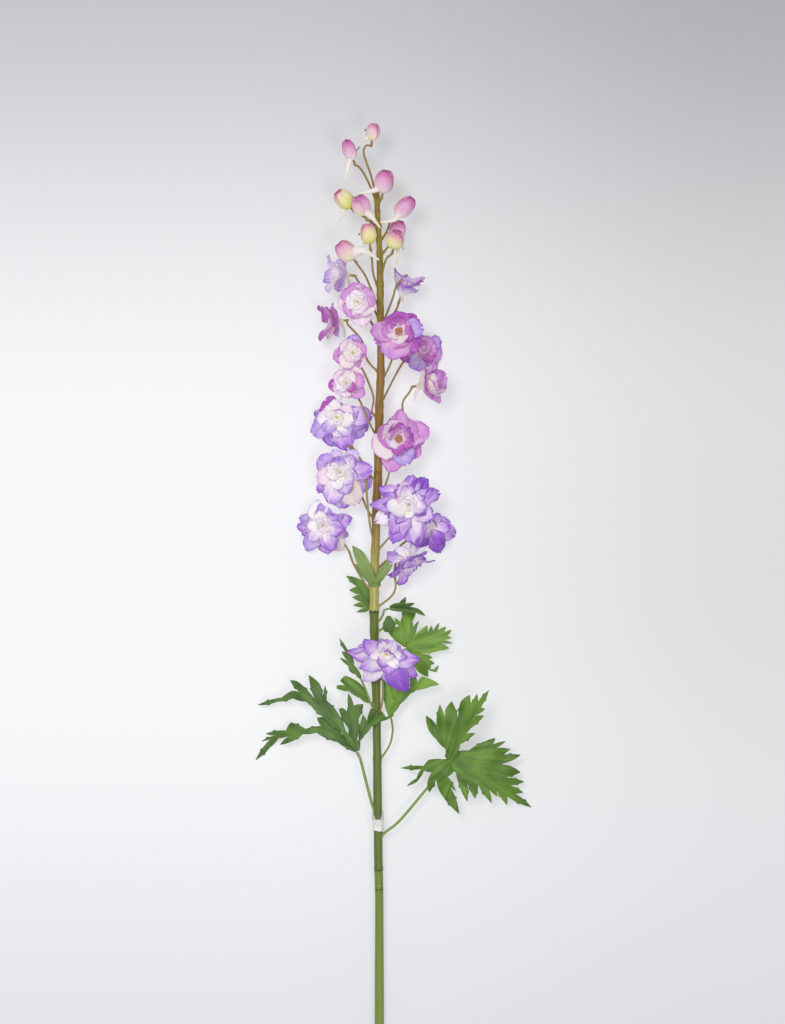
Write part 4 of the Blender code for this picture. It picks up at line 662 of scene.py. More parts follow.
@dataclasses.dataclass
class Petal:
    """A cupped blade: its midrib leaves the axis at a changing angle."""
    azimuth: float
    length: float
    width: float
    height: float
    open_base: float
    open_tip: float
    cup: float
    phase: float
    look: str
    ruffle: float = 0.5
    pointed: bool = False
    start: float = 1.8
    wave: float = 0.0
    notch: float = 0.0
    crease: float = 0.0
    curl: float = 0.0
    twist: float = 0.0
    sway: float = 0.0

    def varied(self, bend, scale):
        """The same petal bent back or forward, and shortened."""
        return dataclasses.replace(self, open_base=self.open_base + bend * 0.6,
                                   open_tip=self.open_tip + bend * 1.3, length=self.length * scale)

    def place(self, u, v, half):
        """Points on the petal in its flower's frame."""
        a0 = math.radians(self.open_base)
        swing = math.radians(self.open_tip - self.open_base) or 1e-4
        angle = a0 + swing * u
        out = self.start + self.length * (math.cos(a0) - np.cos(angle)) / swing
        up = self.height + self.length * (np.sin(angle) - math.sin(a0)) / swing
        lift = self.lift(u, v, half)
        out = out - np.cos(angle) * lift
        up = up + np.sin(angle) * lift
        turn = math.radians(self.azimuth) + self.sway * u * u
        x = np.cos(turn) * out - np.sin(turn) * v * half
        y = np.sin(turn) * out + np.cos(turn) * v * half
        return np.stack([x, y, up], -1)

    def lift(self, u, v, half):
        """Height of the cup, the waves, the crease and the curl over the bent blade."""
        edge = np.abs(v) ** 1.7 * np.clip(u * 1.5, 0, 1)
        lift = self.cup * half * v * v + self.ruffle * u * u * np.sin(self.phase + 2.6 * v + 4.0 * u)
        lift += self.wave * edge * np.sin(self.phase * 3.0 + 5.2 * u + 1.9 * v)
        lift += 0.38 * self.wave * edge * np.sin(self.phase * 5.0 + 12.5 * u - 1.1 * v)
        lift += 0.3 * self.wave * u ** 3 * np.sin(self.phase * 2.0 + 5.5 * v)
        lift -= self.crease * np.exp(-(v / 0.2) ** 2) * u * (1.25 - u)
        lift -= self.curl * np.clip(u - 0.62, 0, 1) ** 2 * self.length
        return lift + self.twist * v * half * u

    def grid(self, rows, cols):
        """Fine grid of the petal, with an uneven end and rippled edges."""
        u, v = spread(rows, cols)
        u = 1 - (1 - u) ** 1.25
        tuck = 0.05 * v * v + self.notch * np.exp(-(v / 0.3) ** 2)
        tuck += 0.022 * np.sin(self.phase * 9.0 + 5.0 * v) + 0.012 * np.sin(self.phase * 5.0 + 11.0 * v)
        ripple = 0.045 * np.sin(self.phase * 7.0 + 13.0 * u + v) + 0.03 * np.sin(self.phase * 4.0 + 27.0 * u)
        ripple = 1.0 + ripple * np.clip(u * 2 - 0.4, 0, 1)
        return self.place(u - tuck * u ** 3, v, half_width(u, self.pointed) * ripple * self.width * 0.56)

    def midrib(self):
        """A few points along the middle, to find the petal on its solid."""
        return self.place(np.array([0.35, 0.55, 0.75, 0.95]), np.zeros(4), np.zeros(4))


def flower_frame(base, facing):
    """Matrix that stands a flower on its base with its axis along facing."""
    turn = Vector((0, 0, 1)).rotation_difference(Vector(facing).normalized())
    return Matrix.Translation(Vector(base)) @ turn.to_matrix().to_4x4()


def as_in_solid(petal, place, tree):
    """The petal bent and shortened as its solid is."""
    best = None
    for scale, bend in itertools.product(SHORTER, BENDS):
        trial = petal.varied(bend, scale)
        points = matrix_points(place, trial.midrib())
        points[:, 2] = np.maximum(points[:, 2], FLOOR_GAP)
        gaps = [tree.find_nearest(p)[3] for p in points.tolist()]
        away = sum(gaps) / len(gaps)
        if away < PETAL_NEAR and max(gaps) < PETAL_FAR:
            return trial
        if best is None or away < best[0]:
            best = (away, trial)
    return best[1]


def outer_whorl(name, spec, rng):
    """The long petals of a floret, in order round it."""
    open_base, open_tip = spec["opening"]
    petals = []
    table = sorted(zip(spec["petals"], *DRESS[name][:2]), key=lambda row: row[0][0] % 360)
    for i, ((azimuth, length), look, width) in enumerate(table):
        tilt, cup, height = (7.0, 0.06, 2.4) if i % 2 else (-7.0, 0.2, 4.0)
        petals.append(Petal(azimuth % 360, length - 1.0, width, height, open_base + tilt, open_tip + tilt,
                            cup, rng.uniform(0, FULL_TURN), look, pointed=spec.get("pointed", False)))
    return petals


def inner_whorl(name, spec, fine):
    """The short petals that stand inside the long ones, as the photo shows them."""
    open_base, open_tip = spec["opening"]
    if open_tip > 110:
        open_tip = 98.0
    made = []
    for azimuth, length, width, look in DRESS[name][2]:
        height, lean = (3.4, 4.0) if length > 22 else (6.2, 21.0)
        lean = spec.get("lean", lean)
        azimuth, length = azimuth + fine.uniform(-5, 5), length * fine.uniform(0.9, 1.1)
        tip = open_tip - lean + fine.uniform(-0.8, 0.7) * min(abs(lean), 21.0)
        made.append(Petal(azimuth, length, width * 0.92, height, open_base - lean, tip,
                          fine.uniform(0.15, 0.4), fine.uniform(0, FULL_TURN), look))
    return made


def between(petals, look, fine):
    """Petals that stand between the long ones, a little shorter."""
    made = []
    for i, a in enumerate(petals):
        b = petals[(i + 1) % len(petals)]
        gap = (b.azimuth - a.azimuth) % 360 or 360
        count = 2 if gap > WIDE_GAP else 1
        for k in range(count):
            t = (k + 1) / (count + 1)
            made.append(dataclasses.replace(
                a, azimuth=a.azimuth + gap * t + fine.uniform(-5, 5),
                length=(a.length + (b.length - a.length) * t) * fine.uniform(0.76, 0.96),
                width=(a.width + b.width) * fine.uniform(0.34, 0.42),
                open_base=(a.open_base + b.open_base) / 2 + 3.0, open_tip=(a.open_tip + b.open_tip) / 2 + 1.0,
                height=2.2, cup=0.16, phase=a.phase * 1.7 + k + 1.0, look=look))
    return made


def middle_ring(petals, look, fine):
    """Medium petals on top of the long ones, which make the floret full."""
    count = max(5, round(len(petals) * 0.8))
    first = fine.uniform(0, 360)
    made = []
    for k in range(count):
        azimuth = first + 360.0 * k / count + fine.uniform(-12, 12)
        near = min(petals, key=lambda p: abs((p.azimuth - azimuth + 180) % 360 - 180))
        made.append(dataclasses.replace(
            near, azimuth=azimuth, length=near.length * fine.uniform(0.58, 0.74),
            width=near.width * fine.uniform(0.62, 0.78), open_base=near.open_base - 8.0,
            open_tip=near.open_tip - fine.uniform(2, 16), height=4.6, cup=0.24,
            phase=fine.uniform(0, FULL_TURN), look=look))
    return made


def add_petal(sheaf, petal, place, rows=15, cols=11):
    """Put a petal's fine surface into a sheaf, above the floor."""
    points = matrix_points(place, petal.grid(rows, cols))
    points[..., 2] = np.maximum(points[..., 2], FLOOR_GAP)
    sheaf.grid(points, petal_uv(rows, cols), petal.look)


def add_horn(sheaf, spec, place, tree):
    """The horn that trails from a floret's back, where its solid has one."""
    best = None
    for step in range(12):
        turn = math.radians(spec.get("spur", 250.0) + step * 30.0)
        path = [place @ polar(turn, out, up) for out, up in ((0.0, 3.2), (7.5, -1.0), (15.0, -2.0))]
        away = tree.find_nearest(path[1])[3] + tree.find_nearest(path[2])[3]
        if best is None or away < best[0]:
            best = (away, path)
    if best[0] < HORN_NEAR:
        path = smooth_path(best[1], 1.2)
        radii = [1.75 - 1.3 * (i / (len(path) - 1)) ** 0.8 for i in range(len(path))]
        add_tube(sheaf, path, radii, "horn", ridges=0.05, count=4)


def build_bloom(name, spec, settings):
    """One floret: its whorls of petals with its cup and horn, and its heart."""
    rng, fine = random.Random(name), random.Random(name + " fine")
    place = flower_frame(above_stem(spec["base"]), spec["facing"])
    (gap_look, ring_look), knot = DRESS[name][3:]
    tree = node_tree(name)
    heart_turn = rng.uniform(0, 72) if knot else None
    outer = [as_in_solid(petal, place, tree) for petal in outer_whorl(name, spec, rng)]
    sheaf = Sheaf()
    middle = Matrix.Translation((0, spec.get("middle_up", 0.0), 0)) @ place
    inner = between(outer, gap_look, fine) + middle_ring(outer, ring_look, fine)
    inner += inner_whorl(name, spec, fine)
    for i, petal in enumerate(outer + inner):
        is_outer = i < len(outer)
        loose = 1.0 if is_outer else 2.0
        petal.twist = fine.uniform(-0.24, 0.24) * loose
        petal.sway = fine.uniform(-0.05, 0.05) * loose
        petal.wave = settings.ruffle / MM * fine.uniform(0.5, 1.2) * petal.length / 22.0
        petal.crease = fine.uniform(0.3, 1.0) * petal.length / 24.0
        petal.notch = fine.choice((0.0, 0.03, 0.06, 0.1))
        petal.curl = fine.uniform(-0.1, 0.5)
        if "middle_up" in spec and 20 < petal.azimuth % 360 < 190:
            petal.length *= UP_DRAWN
        elif is_outer:
            petal.length *= LONG_DRAWN
        add_petal(sheaf, petal, place if is_outer else middle)
    core = [place @ Vector((0, 0, z)) for z in (0.0, 0.8, 2.0, 3.6, 5.4, 7.2)]
    add_tube(sheaf, core, [1.2, 1.7, 1.6, 1.8, 2.1, 2.2], "horn", sides=12, ridges=0.06)
    add_horn(sheaf, spec, place, tree)
    sheaf.piece(name, "petals", settings.cloth / MM)
    if knot:
        build_heart(name + "_heart", spec.get("heart_length", 8.0), middle, heart_turn, knot, fine, settings)


def build_heart(name, length, place, first, knot, fine, settings):
    """White rosette in the middle of a floret, with its stamens."""
    seat = place @ Matrix.Translation((0, 0, HEART_SEAT))
    looks, opening, count, size, lift, reach = KNOTS[knot]
    sheaf = Sheaf()
    for ring, (petals, share, lean) in enumerate(((5, 1.0, 6.0), (5, 0.82, -6.0), (3, 0.6, -20.0))):
        for k in range(petals):
            look = fine.choice(looks)
            azimuth = first + 36.0 * ring + 360.0 * k / petals + fine.uniform(-12, 12)
            long, wide = length * share * fine.uniform(0.85, 1.12), length * fine.uniform(0.66, 0.86)
            tip = opening + 22.0 + lean + fine.uniform(-14, 14)
            add_petal(sheaf, Petal(
                azimuth, long, wide, 0.2 * ring, opening - 14.0 + lean, tip, 0.4,
                fine.uniform(0, FULL_TURN), look, ruffle=0.3, start=0.5, wave=0.35,
                notch=fine.choice((0.0, 0.06)), crease=0.25, curl=fine.uniform(-0.4, 0.8),
                twist=fine.uniform(-0.6, 0.6), sway=fine.uniform(-0.25, 0.25)), seat, rows=11, cols=9)
    for k in range(count):
        turn = math.radians(first + STAMEN_TURN * k)
        top = polar(turn, 0.3 + reach * math.sqrt((k + 0.5) / count), lift + fine.uniform(-0.5, 0.6))
        foot = polar(turn, 0.3, 0.4)
        thread = [seat @ foot.lerp(top, t) for t in (0.0, 0.5, 1.0)]
        add_tube(sheaf, thread, [0.16, 0.14, 0.14], "horn", sides=5)
        tip = (top - foot).normalized() * size
        ball = [seat @ (top + tip * t) for t in (-0.8, -0.3, 0.4, 1.0)]
        add_tube(sheaf, ball, [0.2, size, size, 0.2], "stamen " + knot, sides=6)
    sheaf.piece(name, "rosette", settings.cloth / MM * HEART_THINNER)


# Buds

def sepal(place, width, half_length, azimuth, layer):
    """A curved scale of a bud, from its base to its crinkled open tip."""
    u, v = spread(19, 15)
    z = -np.cos(np.pi * (0.02 + 0.86 * u ** 0.95))
    belly = np.maximum(1 - np.abs(z) ** np.where(z > 0, 3.4, 2.1), 0.0) ** 0.5
    crinkle = np.sin(5.3 * v + 2.0 * azimuth) + 0.6 * np.sin(11.0 * v + 5.0 * azimuth)
    r = width * (1 - 0.1 * z) * belly + (0.14 * layer - 0.3) * belly + 0.35 * crinkle * u ** 8
    turn = azimuth + v * math.radians(84) * (1.0 - 0.12 * u ** 3)
    rise = half_length * (z + 0.05 * (1 - v * v) * u ** 4) + 0.45 * crinkle * u ** 7
    return matrix_points(place, np.stack([np.cos(turn) * r, np.sin(turn) * r, rise], -1))


def build_bud(name, spec):
    """A closed bud of wrapped sepals, with the horn that it trails."""
    base, tip = above_stem(spec["base"]), above_stem(spec["tip"])
    half_length = (tip - base).length / 2
    place = flower_frame((base + tip) / 2, tip - base)
    width = spec["width"] / 2
    above = place.to_3x3().inverted() @ Vector((0, 0, 1))
    facing_up = math.atan2(above.y, above.x)
    sheaf = Sheaf()
    *scales, broad = SEPALS[name]
    for layer, (turn, look) in enumerate(scales):
        points = sepal(place, width, half_length, facing_up + math.radians(turn), layer)
        sheaf.grid(points, petal_uv(*points.shape[:2]), look)
    core = [base.lerp(tip, t) for t in (0.6, 0.75, 0.87, 0.94, 0.97)]
    add_tube(sheaf, core, [width * k for k in (0.5, 0.7, 0.62, 0.42, 0.12)], "R", sides=14, ridges=0.12)
    add_bud_horn(sheaf, [base.lerp(tip, 0.52), base.lerp(tip, 0.3)] + [above_stem(p) for p in spec["spur"]],
                 width * broad, "horn F" if broad > 0.4 else "horn")
    if name in ("bud_01", "bud_02"):
        beak = [tip.lerp(base, t) for t in (0.12, -0.02, -0.07)]
        add_tube(sheaf, beak, [1.5, 1.0, 0.4], "R", ridges=0.1)
    if name in ("bud_01", "bud_07"):
        stub = [place @ polar(facing_up - 1.5, out, 1.0) for out in (width * 0.6, width + 1.4)]
        add_tube(sheaf, stub, [0.9, 0.45], "dark and shade", sides=8)
    sheaf.piece(name, "sepals", SEPAL_CLOTH)


def add_bud_horn(sheaf, route, start, finish):
    """A bud's tapered horn, coloured from its tip as a petal is from its base."""
    path = smooth_path(route, 1.0)
    run = np.linspace(1, 0, len(path))
    radii = 0.6 + (start - 0.6) * run ** 1.5 + 0.5 * run * (1 - run)
    grid = tube_grid(path, radii, 16, ridges=0.05, count=3)
    uv = petal_uv(grid.shape[0], 17, 0.9, 0.01)
    uv[..., 1] = 0.6 * np.sin(np.linspace(0, 2 * np.pi, 17))
    sheaf.grid(grid, uv, finish, closed=True)


# Stem

def stem_tube(sheaf, start, end, finish, extra):
    """The stem between two lengths, grooved along its skin."""
    count = max(2, round((end - start) / STEM_STEP))
    places = [start + (end - start) * i / count for i in range(count + 1)]
    radii = [interpolate(STEM_RADIUS, a) + extra(a) for a in places]
    add_tube(sheaf, [stem_point(a) for a in places], radii, finish, sides=24, ridges=0.028,
             count=7, twist=0.012)


def bump_at(*places):
    """Sum of small swellings at places along the stem: (place, height, half width)."""
    return lambda a: sum(h * math.exp(-((a - at) / w) ** 2) for at, h, w in places)


def add_stalk(sheaf, root, route, end, facing, finish, radius=STALK, knob=1.0):
    """Stalk from the stem to the back of what it carries, with its knob."""
    axis = Vector(facing).normalized()
    tip = above_stem(end) - axis * 0.2
    neck = tip - axis * 4.5
    path = smooth_path([stem_point(root)] + [above_stem(p) for p in route] + [neck], 2.0)
    path += [neck.lerp(tip, 0.35), neck.lerp(tip, 0.7), tip]
    add_loose_stalk(sheaf, path, finish, radius, knob)


def add_loose_stalk(sheaf, path, finish, radius=STALK, knob=0.0):
    """Tube with a flared root, and a knob before its end if it has one."""
    lengths = [0.0, *itertools.accumulate((b - a).length for a, b in zip(path, path[1:]))]
    radii = []
    for s in lengths:
        root = 1.0 + 0.75 * math.exp(-((s - 3.4) / 1.8) ** 2)
        head = 1.0 + 0.55 * knob * math.exp(-((lengths[-1] - 4.0 - s) / 1.5) ** 2)
        radii.append(radius * root * head * (1.0 + 0.03 * math.sin(s * 0.9)))
    add_tube(sheaf, path, radii, finish, sides=12, ridges=0.05, count=4, twist=0.03)


def build_upper_stem():
    """Flowering length with every floret and bud stalk."""
    sheaf = Sheaf()
    roots = [root for root, _ in [*PEDICELS.values(), *BUD_STALKS.values()]]
    swell = bump_at(*[(r + 2.0, 0.45, 3.0) for r in roots], (COLLAR_SEAM + 1.5, 0.35, 1.6))
    stem_tube(sheaf, COLLAR_SEAM, BROWN_START, "mid stem", swell)
    stem_tube(sheaf, BROWN_START, STEM_TIP, "top stem", swell)
    for name, (root, route) in PEDICELS.items():
        add_stalk(sheaf, root, route, BLOOMS[name]["base"], BLOOMS[name]["facing"], "stalk")
    for name, (root, route) in BUD_STALKS.items():
        base, tip = BUDS[name]["base"], BUDS[name]["tip"]
        add_stalk(sheaf, root, route, base, above_stem(tip) - above_stem(base), "stalk")
    add_tube(sheaf, [above_stem(p) for p in TWIG], [0.5, 0.55, 0.75], "stalk", sides=8)
    for root, route in (TWIN_STALK, BARE_STALK):
        path = smooth_path([stem_point(root)] + [above_stem(p) for p in route], 2.0)
        add_loose_stalk(sheaf, path, "stalk")
    # Dark ring on a slight bulge at the joint: its colour is painted shade of the socket.
    ring = [stem_point(COLLAR_SEAM + a) for a in (-1.1, -0.7, 0.5, 2.0, 2.5)]
    add_tube(sheaf, ring, [3.9, 4.25, 4.3, 4.2, 3.8], "dark and shade", sides=24, ridges=0.02, count=9)
    sheaf.piece("upper_stem", "skin")


def build_middle_stem():
    """Leafy length with the leaf stalks."""
    sheaf = Sheaf()
    swell = bump_at((SLEEVE_SEAM + 1.0, 0.45, 2.0), (COLLAR_SEAM - 1.0, 0.3, 2.2), (398, 0.5, 4.0),
                    (361, 0.3, 3.0), (426, 0.35, 3.0), (470, 0.3, 4.0))
    stem_tube(sheaf, SLEEVE_SEAM, COLLAR_SEAM - SEAM_GAP, "leafy stem", swell)
    for name, (root, route, end, facing) in PETIOLES.items():
        radius = LEAF_STALK if name in ("leaf_01", "leaf_02") else STALK
        add_stalk(sheaf, root, route, end, facing, "leaf stalk", radius, knob=0.0)
    root, route = LOW_PEDICEL
    add_stalk(sheaf, root, route, BLOOMS["bloom_17"]["base"], BLOOMS["bloom_17"]["facing"], "stalk")
    sheaf.piece("middle_stem", "skin")


def build_lower_stem():
    """Bare length of stem, with the sleeve's step, a painted shadow at it, and its pip."""
    sheaf = Sheaf()
    stem_tube(sheaf, 0.0, SLEEVE_SEAM - SEAM_GAP, "bare stem", bump_at((SLEEVE_STEP + 1.0, 0.16, 1.0)))
    spot = stem_point(SLEEVE_STEP + 3.5) + Vector((0.6, 0, interpolate(STEM_RADIUS, SLEEVE_STEP + 3.5) - 0.7))
    for heights, radii, finish, sides in (((0.0, 0.5, 0.95, 1.0), (1.5, 1.45, 1.05, 0.5), "leaf stalk", 14),
                                          ((0.0, 0.3, 0.34), (2.0, 2.0, 1.4), "dark and shade", 18)):
        add_tube(sheaf, [spot + Vector((0, 0, h)) for h in heights], radii, finish, sides=sides)
    # Dark thin ring at the sleeve's step: painted shadow of the step.
    ring = [stem_point(SLEEVE_STEP + a) for a in (0.0, 0.2, 0.8, 1.0)]
    radius = interpolate(STEM_RADIUS, SLEEVE_STEP + 0.5)
    add_tube(sheaf, ring, [radius, radius + 0.13, radius + 0.13, radius], "dark and shade", sides=24)
    sheaf.piece("lower_stem", "skin")


def build_band():
    """Clear crumpled band round the stem, with ragged flaps that stand up at both sides of it."""
    rng = np.random.default_rng(7)
    rows, cols = 22, 56
    angle = np.linspace(0, 2 * np.pi, cols, endpoint=False)
    t = np.linspace(0, 1, rows)[:, None]
    flap = np.clip((np.abs(np.cos(angle)) - 0.35) / 0.4, 0, 1)
    start = BAND_START + 0.4 * np.sin(angle * 3 + 1.0)
    end = BAND_END + flap * (6.0 + 1.6 * np.sin(angle * 9 + 2.0)) + 0.4 * np.sin(angle * 5)
    along = start + (end - start) * t
    centre = np.array([tuple(stem_point(a)) for a in np.linspace(BAND_START, 314.0, rows)])
    crush = np.sin(angle * 7 + 5 * t) * 0.1 + np.sin(angle * 4 - 7 * t) * 0.1
    crush = crush + rng.uniform(-0.03, 0.03, (rows, cols))
    radius = 4.62 + crush + 1.1 * flap * np.clip(t - 0.4, 0, 1) ** 1.5 + 0.25 * np.clip(0.15 - t, 0, 1) * 5
    points = np.stack([centre[:, :1] + np.cos(angle) * radius, along,
                       centre[:, 2:] + np.sin(angle) * radius], -1)
    uv = np.zeros((rows, cols + 1, 2))
    uv[..., 0] = (np.concatenate([along, along[:, :1]], 1) - BAND_START) / 10.0
    uv[..., 1] = np.linspace(0, 1, cols + 1)
    sheaf = Sheaf()
    sheaf.grid(points, uv, "film", closed=True)
    sheaf.piece("wrap_band", "film", FILM)


# Leaves

def neighbours(points):
    """Each point of a ring with the one before and the one after it."""
    return zip(points[-1:] + points[:-1], points, points[1:] + points[:1])


def notched(points, foot, axis, sign):
    """The cut edge with its notches deepened and its tips drawn out."""
    cut = []
    for before, b, after in neighbours(points):
        corner = ((b - before).x * (after - b).y - (b - before).y * (after - b).x) * -sign
        away = b - foot - axis * max(0.0, (b - foot).dot(axis))
        if corner < 0 and away.length > 3.0:
            b = b - away.normalized() * min(3.4, away.length * 0.26) - axis * 1.0
        elif corner > 0 and (b - foot).length > 8.0:
            b = b + (b - foot).normalized() * 0.8
        cut.append(b)
    return cut


def refined_outline(outline, rib, toothed):
    """The cut edge bowed outward, and with a small tooth on each long stretch if it is toothed."""
    points = [Vector(p) for p in outline]
    foot, axis = Vector(rib[0]), (Vector(rib[1]) - Vector(rib[0])).normalized()
    area = sum(a.x * b.y - b.x * a.y for _, a, b in neighbours(points))
    sign = -1.0 if area > 0 else 1.0
    if toothed:
        points = notched(points, foot, axis, sign)
    fine = []
    for _, a, b in neighbours(points):
        along = b - a
        out = Vector((-along.y, along.x)) * sign
        has_tooth = toothed and along.length > TOOTHED_EDGE
        tooth = out.normalized() * min(1.3, along.length * 0.1) if has_tooth else Vector((0, 0))
        count = max(1, round(along.length / EDGE_STEP))
        for k in range(count):
            t = k / count
            fine.append(a + along * t + out * EDGE_BULGE * 4 * t * (1 - t)
                        + tooth * max(0.0, 1 - abs(t - 0.55) * along.length / 1.7))
    return fine


def inside(x, y, ring):
    """True for the points that lie within a ring of corners."""
    within = np.zeros(len(x), bool)
    for (x0, y0), (x1, y1) in zip(ring, np.roll(ring, -1, axis=0)):
        crosses = (y0 > y) != (y1 > y)
        if y1 != y0:
            within ^= crosses & (x < (x1 - x0) * (y - y0) / (y1 - y0) + x0)
    return within


def filled(ring):
    """Flat triangles over a ring, on a grid of points that keeps clear of its edge."""
    corners = np.array([tuple(p) for p in ring])
    low, high = corners.min(0), corners.max(0)
    gx, gy = np.meshgrid(np.arange(low[0], high[0], LEAF_STEP), np.arange(low[1], high[1], LEAF_STEP * 0.87))
    gx = gx + (np.arange(gx.shape[0]) % 2 * LEAF_STEP / 2)[:, None]
    x, y = gx.ravel(), gy.ravel()
    gap = np.sqrt(((np.stack([x, y], -1)[:, None] - corners[None]) ** 2).sum(-1)).min(1)
    keep = inside(x, y, corners) & (gap > 0.6)
    flat = ring + [Vector(p) for p in zip(x[keep], y[keep])]
    verts, _, faces, *_ = delaunay_2d_cdt(flat, [], [list(range(len(ring)))], 1, 0.001)
    return verts, faces


def leaf_lobe(sheaf, lobe, number, finish, pleats, toothed=True):
    """A cut blade, arched along its midrib, folded on it and pleated."""
    start, end = [Vector(p) for p in lobe["rib"]]
    along = end - start
    reach = along.length
    along.normalize()
    across = Vector((-along.y, along.x))
    verts, faces = filled(refined_outline(lobe["outline"], lobe["rib"], toothed))
    z0, z1 = [STEM_REST + STEM_SLOPE * start.y + h for h in lobe["heights"]]
    s = np.array([(v - start).dot(along) for v in verts])
    d = np.array([(v - start).dot(across) for v in verts])
    t = np.clip(s / reach, 0.0, 1.15)
    z = z0 + (z1 - z0) * t * t + 4.0 * lobe["arch"] * t * (1.0 - t)
    z += lobe["fold"] * np.abs(d) - 0.4 * np.exp(-(d / 0.9) ** 2)
    fan = d / (0.3 * reach + np.clip(s, 0, None)) * (4.4 + number % 3 * 0.4)
    pleat = np.abs((fan + 0.12 * np.sin(s * 0.21 + number)) % 1.0 - 0.5) * 4.0 - 1.0
    z += pleats / MM * pleat * np.clip(np.abs(d) / 2.5, 0, 1) * np.clip(s / 8, 0.2, 1)
    z = np.maximum(z + 0.045 * np.abs(d) * np.sin(s * 0.33 + number), 0.6)
    points = np.stack([[v.x for v in verts], [v.y for v in verts], z], -1)
    uv = np.stack([s / 10.0 + 20.0 * number + 5.0, d / 10.0], -1)
    sheaf.patch(points, faces, uv, finish)


def build_leaf(name, number, settings):
    """The lobes of one leaf."""
    sheaf = Sheaf()
    finish, slot = LEAF_DRESS[name]
    for i, lobe in enumerate(LEAVES[name]):
        leaf_lobe(sheaf, lobe, number * 4 + i, finish, settings.vein_depth)
    sheaf.piece(name, "blade", settings.blade / MM)


def build_bracts(settings):
    """Three narrow leaves on a sheath that clasps the stem."""
    sheaf = Sheaf()
    for i, lobe in enumerate(BRACTS):
        leaf_lobe(sheaf, lobe, 50 + i, "bract", settings.vein_depth, toothed=False)
    path = [stem_point(a) for a, _ in SHEATH]
    radii = [interpolate(STEM_RADIUS, a) + extra for a, extra in SHEATH]
    add_tube(sheaf, path, radii, "bract", sides=24, ridges=0.03, count=6)
    sheaf.piece("bracts", "blade", settings.blade / MM)


# Materials

def linear(value):
    """Display value from 0 to 255 as a linear one."""
    c = value / 255.0
    return c / 12.92 if c <= 0.04045 else ((c + 0.055) / 1.055) ** 2.4


def paint(colour):
    """Colour from display values."""
    return (*[linear(c) for c in colour], 1.0)


class Graph:
    """Adds nodes to a tree and wires them as they are named."""

    def __init__(self, tree):
        self.tree = tree

    def add(self, kind, inputs=None, **settings):
        """A node with its settings, and values or sockets for its inputs."""
        node = self.tree.nodes.new(kind)
        for key, value in settings.items():
            setattr(node, key, value)
        for key, value in (inputs or {}).items():
            self.feed(node.inputs[key], value)
        return node

    def feed(self, socket, value):
        """Wire a socket, or set its value."""
        if isinstance(value, bpy.types.NodeSocket):
            self.tree.links.new(value, socket)
        else:
            socket.default_value = value

    def math(self, operation, a, b=0.0, c=0.0, clamp=False):
        """Result of a sum."""
        return self.add("ShaderNodeMath", {0: a, 1: b, 2: c}, operation=operation, use_clamp=clamp).outputs[0]

    def plus(self, a, b, clamp=False):
        """Two values added."""
        return self.math("ADD", a, b, clamp=clamp)

    def minus(self, a, b):
        """One value less another."""
        return self.math("SUBTRACT", a, b)

    def times(self, a, b, clamp=False):
        """Two values multiplied."""
        return self.math("MULTIPLY", a, b, clamp=clamp)

    def mix(self, factor, a, b, blend="MIX"):
        """One colour laid over another."""
        node = self.add("ShaderNodeMix", {0: factor, 6: a, 7: b}, data_type="RGBA", blend_type=blend)
        return node.outputs[2]

    def ease(self, value, low, high):
        """0 below one value, 1 above another, and smooth between them."""
        node = self.add("ShaderNodeMapRange", {0: value, 1: low, 2: high, 3: 0.0, 4: 1.0},
                        interpolation_type="SMOOTHSTEP")
        return node.outputs[0]

    def place(self, x, y, z=0.0):
        """Vector from three values."""
        return self.add("ShaderNodeCombineXYZ", {0: x, 1: y, 2: z}).outputs[0]

    def noise(self, vector, scale=1.0, detail=2.0):
        """Soft cloudy value from 0 to 1."""
        inputs = {"Vector": vector, "Scale": scale, "Detail": detail, "Roughness": 0.55}
        return self.add("ShaderNodeTexNoise", inputs).outputs["Fac"]

    def streaks(self, x, y, seed=0.0, detail=2.0):
        """Noise on a blade, each direction given as a value and how often it changes."""
        return self.noise(self.place(self.times(*x), self.times(*y), seed), 1.0, detail)

    def split(self, vector):
        """The three values of a vector."""
        return self.add("ShaderNodeSeparateXYZ", {0: vector}).outputs

    def blade(self):
        """Place on the blade or tube that a piece is made of."""
        return self.split(self.add("ShaderNodeUVMap", uv_map="blade").outputs[0])[:2]

    def where(self):
        """Place in the frame, in metres."""
        return self.add("ShaderNodeTexCoord").outputs["Object"]

    def bump(self, height, strength, distance):
        """Normal of a surface with relief."""
        inputs = {"Strength": strength, "Distance": distance, "Height": height}
        return self.add("ShaderNodeBump", inputs).outputs[0]


def start_group(name, colours, values, outputs=("Color", "Height")):
    """Node group with its sockets, and a graph to fill it."""
    tree = bpy.data.node_groups.new(name, "ShaderNodeTree")
    grey = (0.5, 0.5, 0.5, 1.0)
    for label, default in {**dict.fromkeys(colours, grey), **values}.items():
        kind = "NodeSocketColor" if label in colours else "NodeSocketFloat"
        tree.interface.new_socket(label, in_out="INPUT", socket_type=kind).default_value = default
    for label in outputs:
        kind = "NodeSocketColor" if label == "Color" else "NodeSocketFloat"
        tree.interface.new_socket(label, in_out="OUTPUT", socket_type=kind)
    graph = Graph(tree)
    source = graph.add("NodeGroupInput").outputs
    target = graph.add("NodeGroupOutput").inputs
    return tree, graph, source, target


